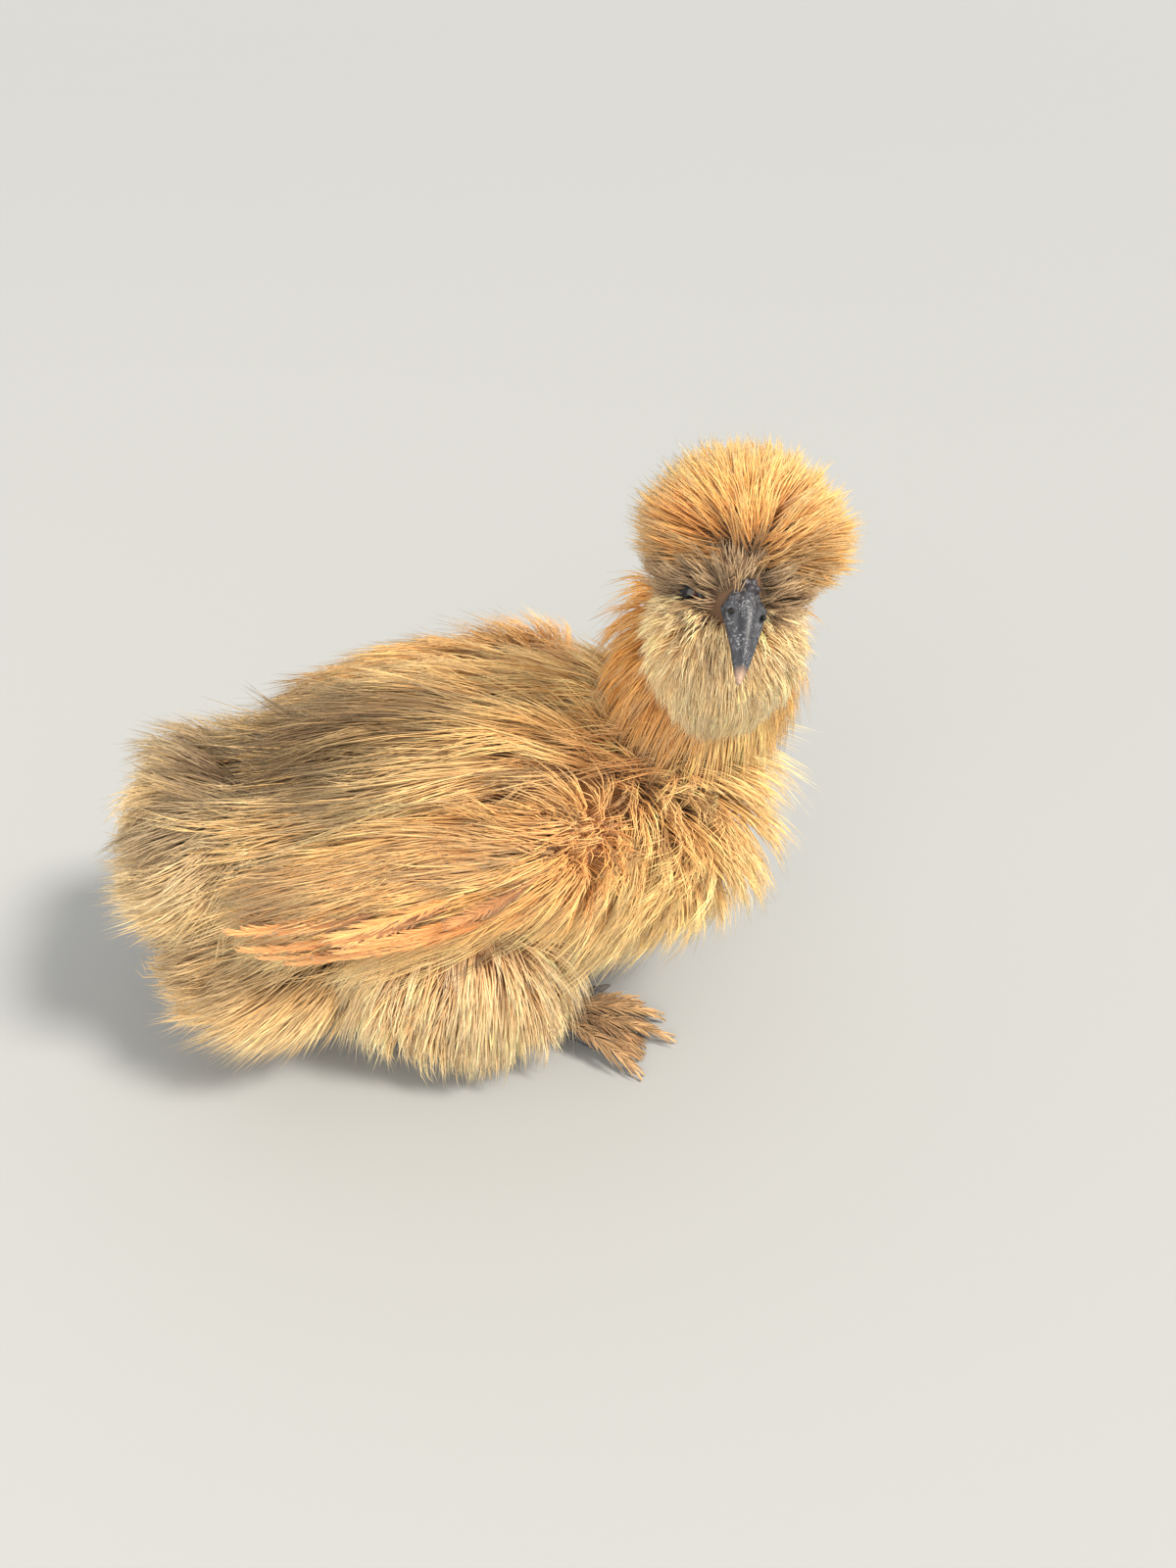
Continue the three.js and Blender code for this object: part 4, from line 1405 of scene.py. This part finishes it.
@dataclass
class Feathers:
    """Stiffer feathers with a shaft and ragged barbs on both sides."""

    model: Model
    down: Material
    barbs: int = 30
    lean: float = 0.2
    barb_wide: float = 0.75
    shaft_wide: float = 1.1
    foot_count: int = 9
    foot_bars: float = 0.45
    foot_tints: tuple = ((shade(110, 80, 54), shade(214, 172, 122)), (DARK_BROWN, shade(186, 142, 98)))
    wing_count: int = 16
    wing_tints: tuple = (
        (shade(112, 72, 46), shade(216, 152, 96)), (shade(214, 136, 74), shade(244, 184, 120)),
    )

    def strands(self, feather: Feather, rng: Draws, tile: tuple[int, int]) -> Strands:
        """Return the shaft and barbs of one feather.

        Args:
            feather: The feather's shape and tints.
            rng: The draws that make it ragged.
            tile: The bake map's tile.

        Returns:
            Its strands.
        """
        out = unit(feather.out)
        across = unit(np.cross(np.subtract(feather.tip, feather.root), out))
        start = np.repeat(np.linspace(0.1, 0.93, self.barbs), 2)
        side = np.tile([-1.0, 1.0], self.barbs)
        ragged = rng.uniform(0.5, 1.3, len(start))
        half = feather.wide / 2 * np.sin(np.pi * start**0.7) ** 0.55 * ragged
        lean = self.lean * rng.uniform(0.6, 1.9, len(start))
        rows = []
        for s in RING_SPOTS:
            lift = 0.8 * math.sin(math.pi * s) - 0.9 * s
            far = np.minimum(start + lean * s, 1.1)
            rows.append(feather.spine(far) + across * (side * half * s**0.8)[:, None] + out * lift)
        shaft = feather.spine(np.array(RING_SPOTS))[None] + out * 0.3
        lines = np.concatenate([np.stack(rows, axis=1), shaft])
        level = np.append(start, 0.5)[:, None, None]
        colour = np.array(feather.low) * (1 - level) + np.array(feather.high) * level
        bars = 1 - feather.bars * (0.5 + 0.5 * np.sin(level * 26.0 + rng.uniform(0, 6)))
        colour = np.clip(colour * bars * rng.normal(1, 0.1, (len(lines), 1, 1)), *COLOUR_LIMITS)
        wide = np.append(np.full(len(start), self.barb_wide), self.shaft_wide) * MM
        patch = np.tile(np.array(tile) / 4 + 0.01 + 0.2 * rng.random(2), (len(lines), 1))
        outward = np.tile(out, (len(lines), 1))
        return Strands(self.model.place(lines), outward, wide, np.repeat(colour, 4, axis=1), patch)

    def build(
        self, name: str, feathers: Sequence[Feather], slot: str, tile: tuple[int, int], seed: int,
    ) -> None:
        """Model a group of feathers as one piece."""
        rng = np.random.default_rng(seed)
        joined = Strands.joined([self.strands(feather, rng, tile) for feather in feathers])
        dress(joined.build(name), self.down, slot)

    def foot(self, side: int, name: str, centre: Point) -> None:
        """Model the fan of striped feathers on the outer toes of a foot."""
        rng = np.random.default_rng(71 + side)
        middle = np.array(centre)
        made = []
        for k in range(self.foot_count):
            part = k / (self.foot_count - 1)
            angle = math.radians((-14 + 50 * (0.5 - part)) * -side)
            way = np.array((math.cos(angle), math.sin(angle), 0.0))
            far = rng.uniform(40, 52) * (1 - 0.25 * abs(part - 0.5))
            root = middle + way * 4 + np.array((0, 0, 9 + 2 * (k % 3)))
            tip = middle + way * far + np.array((0, 0, 3.0 + rng.uniform(0, 3)))
            bend = (root + tip) / 2 + np.array((0, 0, 6.0))
            ends = (tuple(root), tuple(bend), tuple(tip))
            made.append(Feather(*ends, (0, 0, 1), 8.5, *self.foot_tints[k % 2], self.foot_bars))
        self.build(name, made, "leg_fluff", (3, 3), 81 + side)

    def wing(self, form: Form, side: int, name: str) -> None:
        """Model the ragged, peach-orange feathers along the lower edge of a wing."""
        rng = np.random.default_rng(61 + side)
        made = []
        for k in range(self.wing_count):
            row, spot = divmod(k, 8)
            u = 0.42 + 0.3 * spot / 8 + rng.uniform(-0.04, 0.04)
            v = (1.5 + 0.35 * row + rng.uniform(-0.2, 0.2)) * -side
            run, fall = 0.16 + rng.uniform(-0.04, 0.05), rng.uniform(-0.05, 0.3) * -side
            steps = np.array([0.0, 0.5, 1.0])
            ends = form.points(u + run * steps, v + fall * steps, np.array([0.84, 1.0, 1.0]))
            inner, outer = form.points(np.full(2, u + 0.1), np.full(2, v), np.array([0.9, 1.1]))
            tints = self.wing_tints[min(k % 3, 1)]
            made.append(Feather(*(tuple(p) for p in ends), tuple(outer - inner), rng.uniform(4, 7), *tints))
        self.build(name, made, "wing_feathers", (2, 3), 91 + side)


def main() -> None:
    """Build the hen in order: camera and studio, skin, bare parts, then the coat."""
    logging.basicConfig(level=logging.INFO, format="%(name)s: %(message)s")
    model = Model.load()
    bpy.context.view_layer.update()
    Studio(model).build()
    Skin(model).build(SkinFinish().build())
    head = Head(model)
    horn, bare, pit = BEAK_HORN.build(), BARE_SKIN.build(), NOSTRIL_PAINTED_SHADE.build()
    wet = EyeFinish().build()
    for side, name in ((-1, "right_eye"), (1, "left_eye")):
        head.eye(side, name, wet)
        head.lids(side, name, bare)
    head.beak(horn, pit)
    head.comb(bare)
    legs = Legs(model)
    legs.build(ScaleFinish().build(), CLAW_HORN.build())
    down = DownFinish().build()
    for tufts in head_coats() + body_coats() + limb_coats():
        Coat(tufts, model).build(down)
    feathers = Feathers(model, down)
    for side, form, name in ((-1, RIGHT_WING, "right"), (1, LEFT_WING, "left")):
        feathers.wing(form, side, f"{name}_wing_vanes")
        feathers.foot(side, f"{name}_foot_vanes", legs.centre(side))


if __name__ == "__main__":
    main()
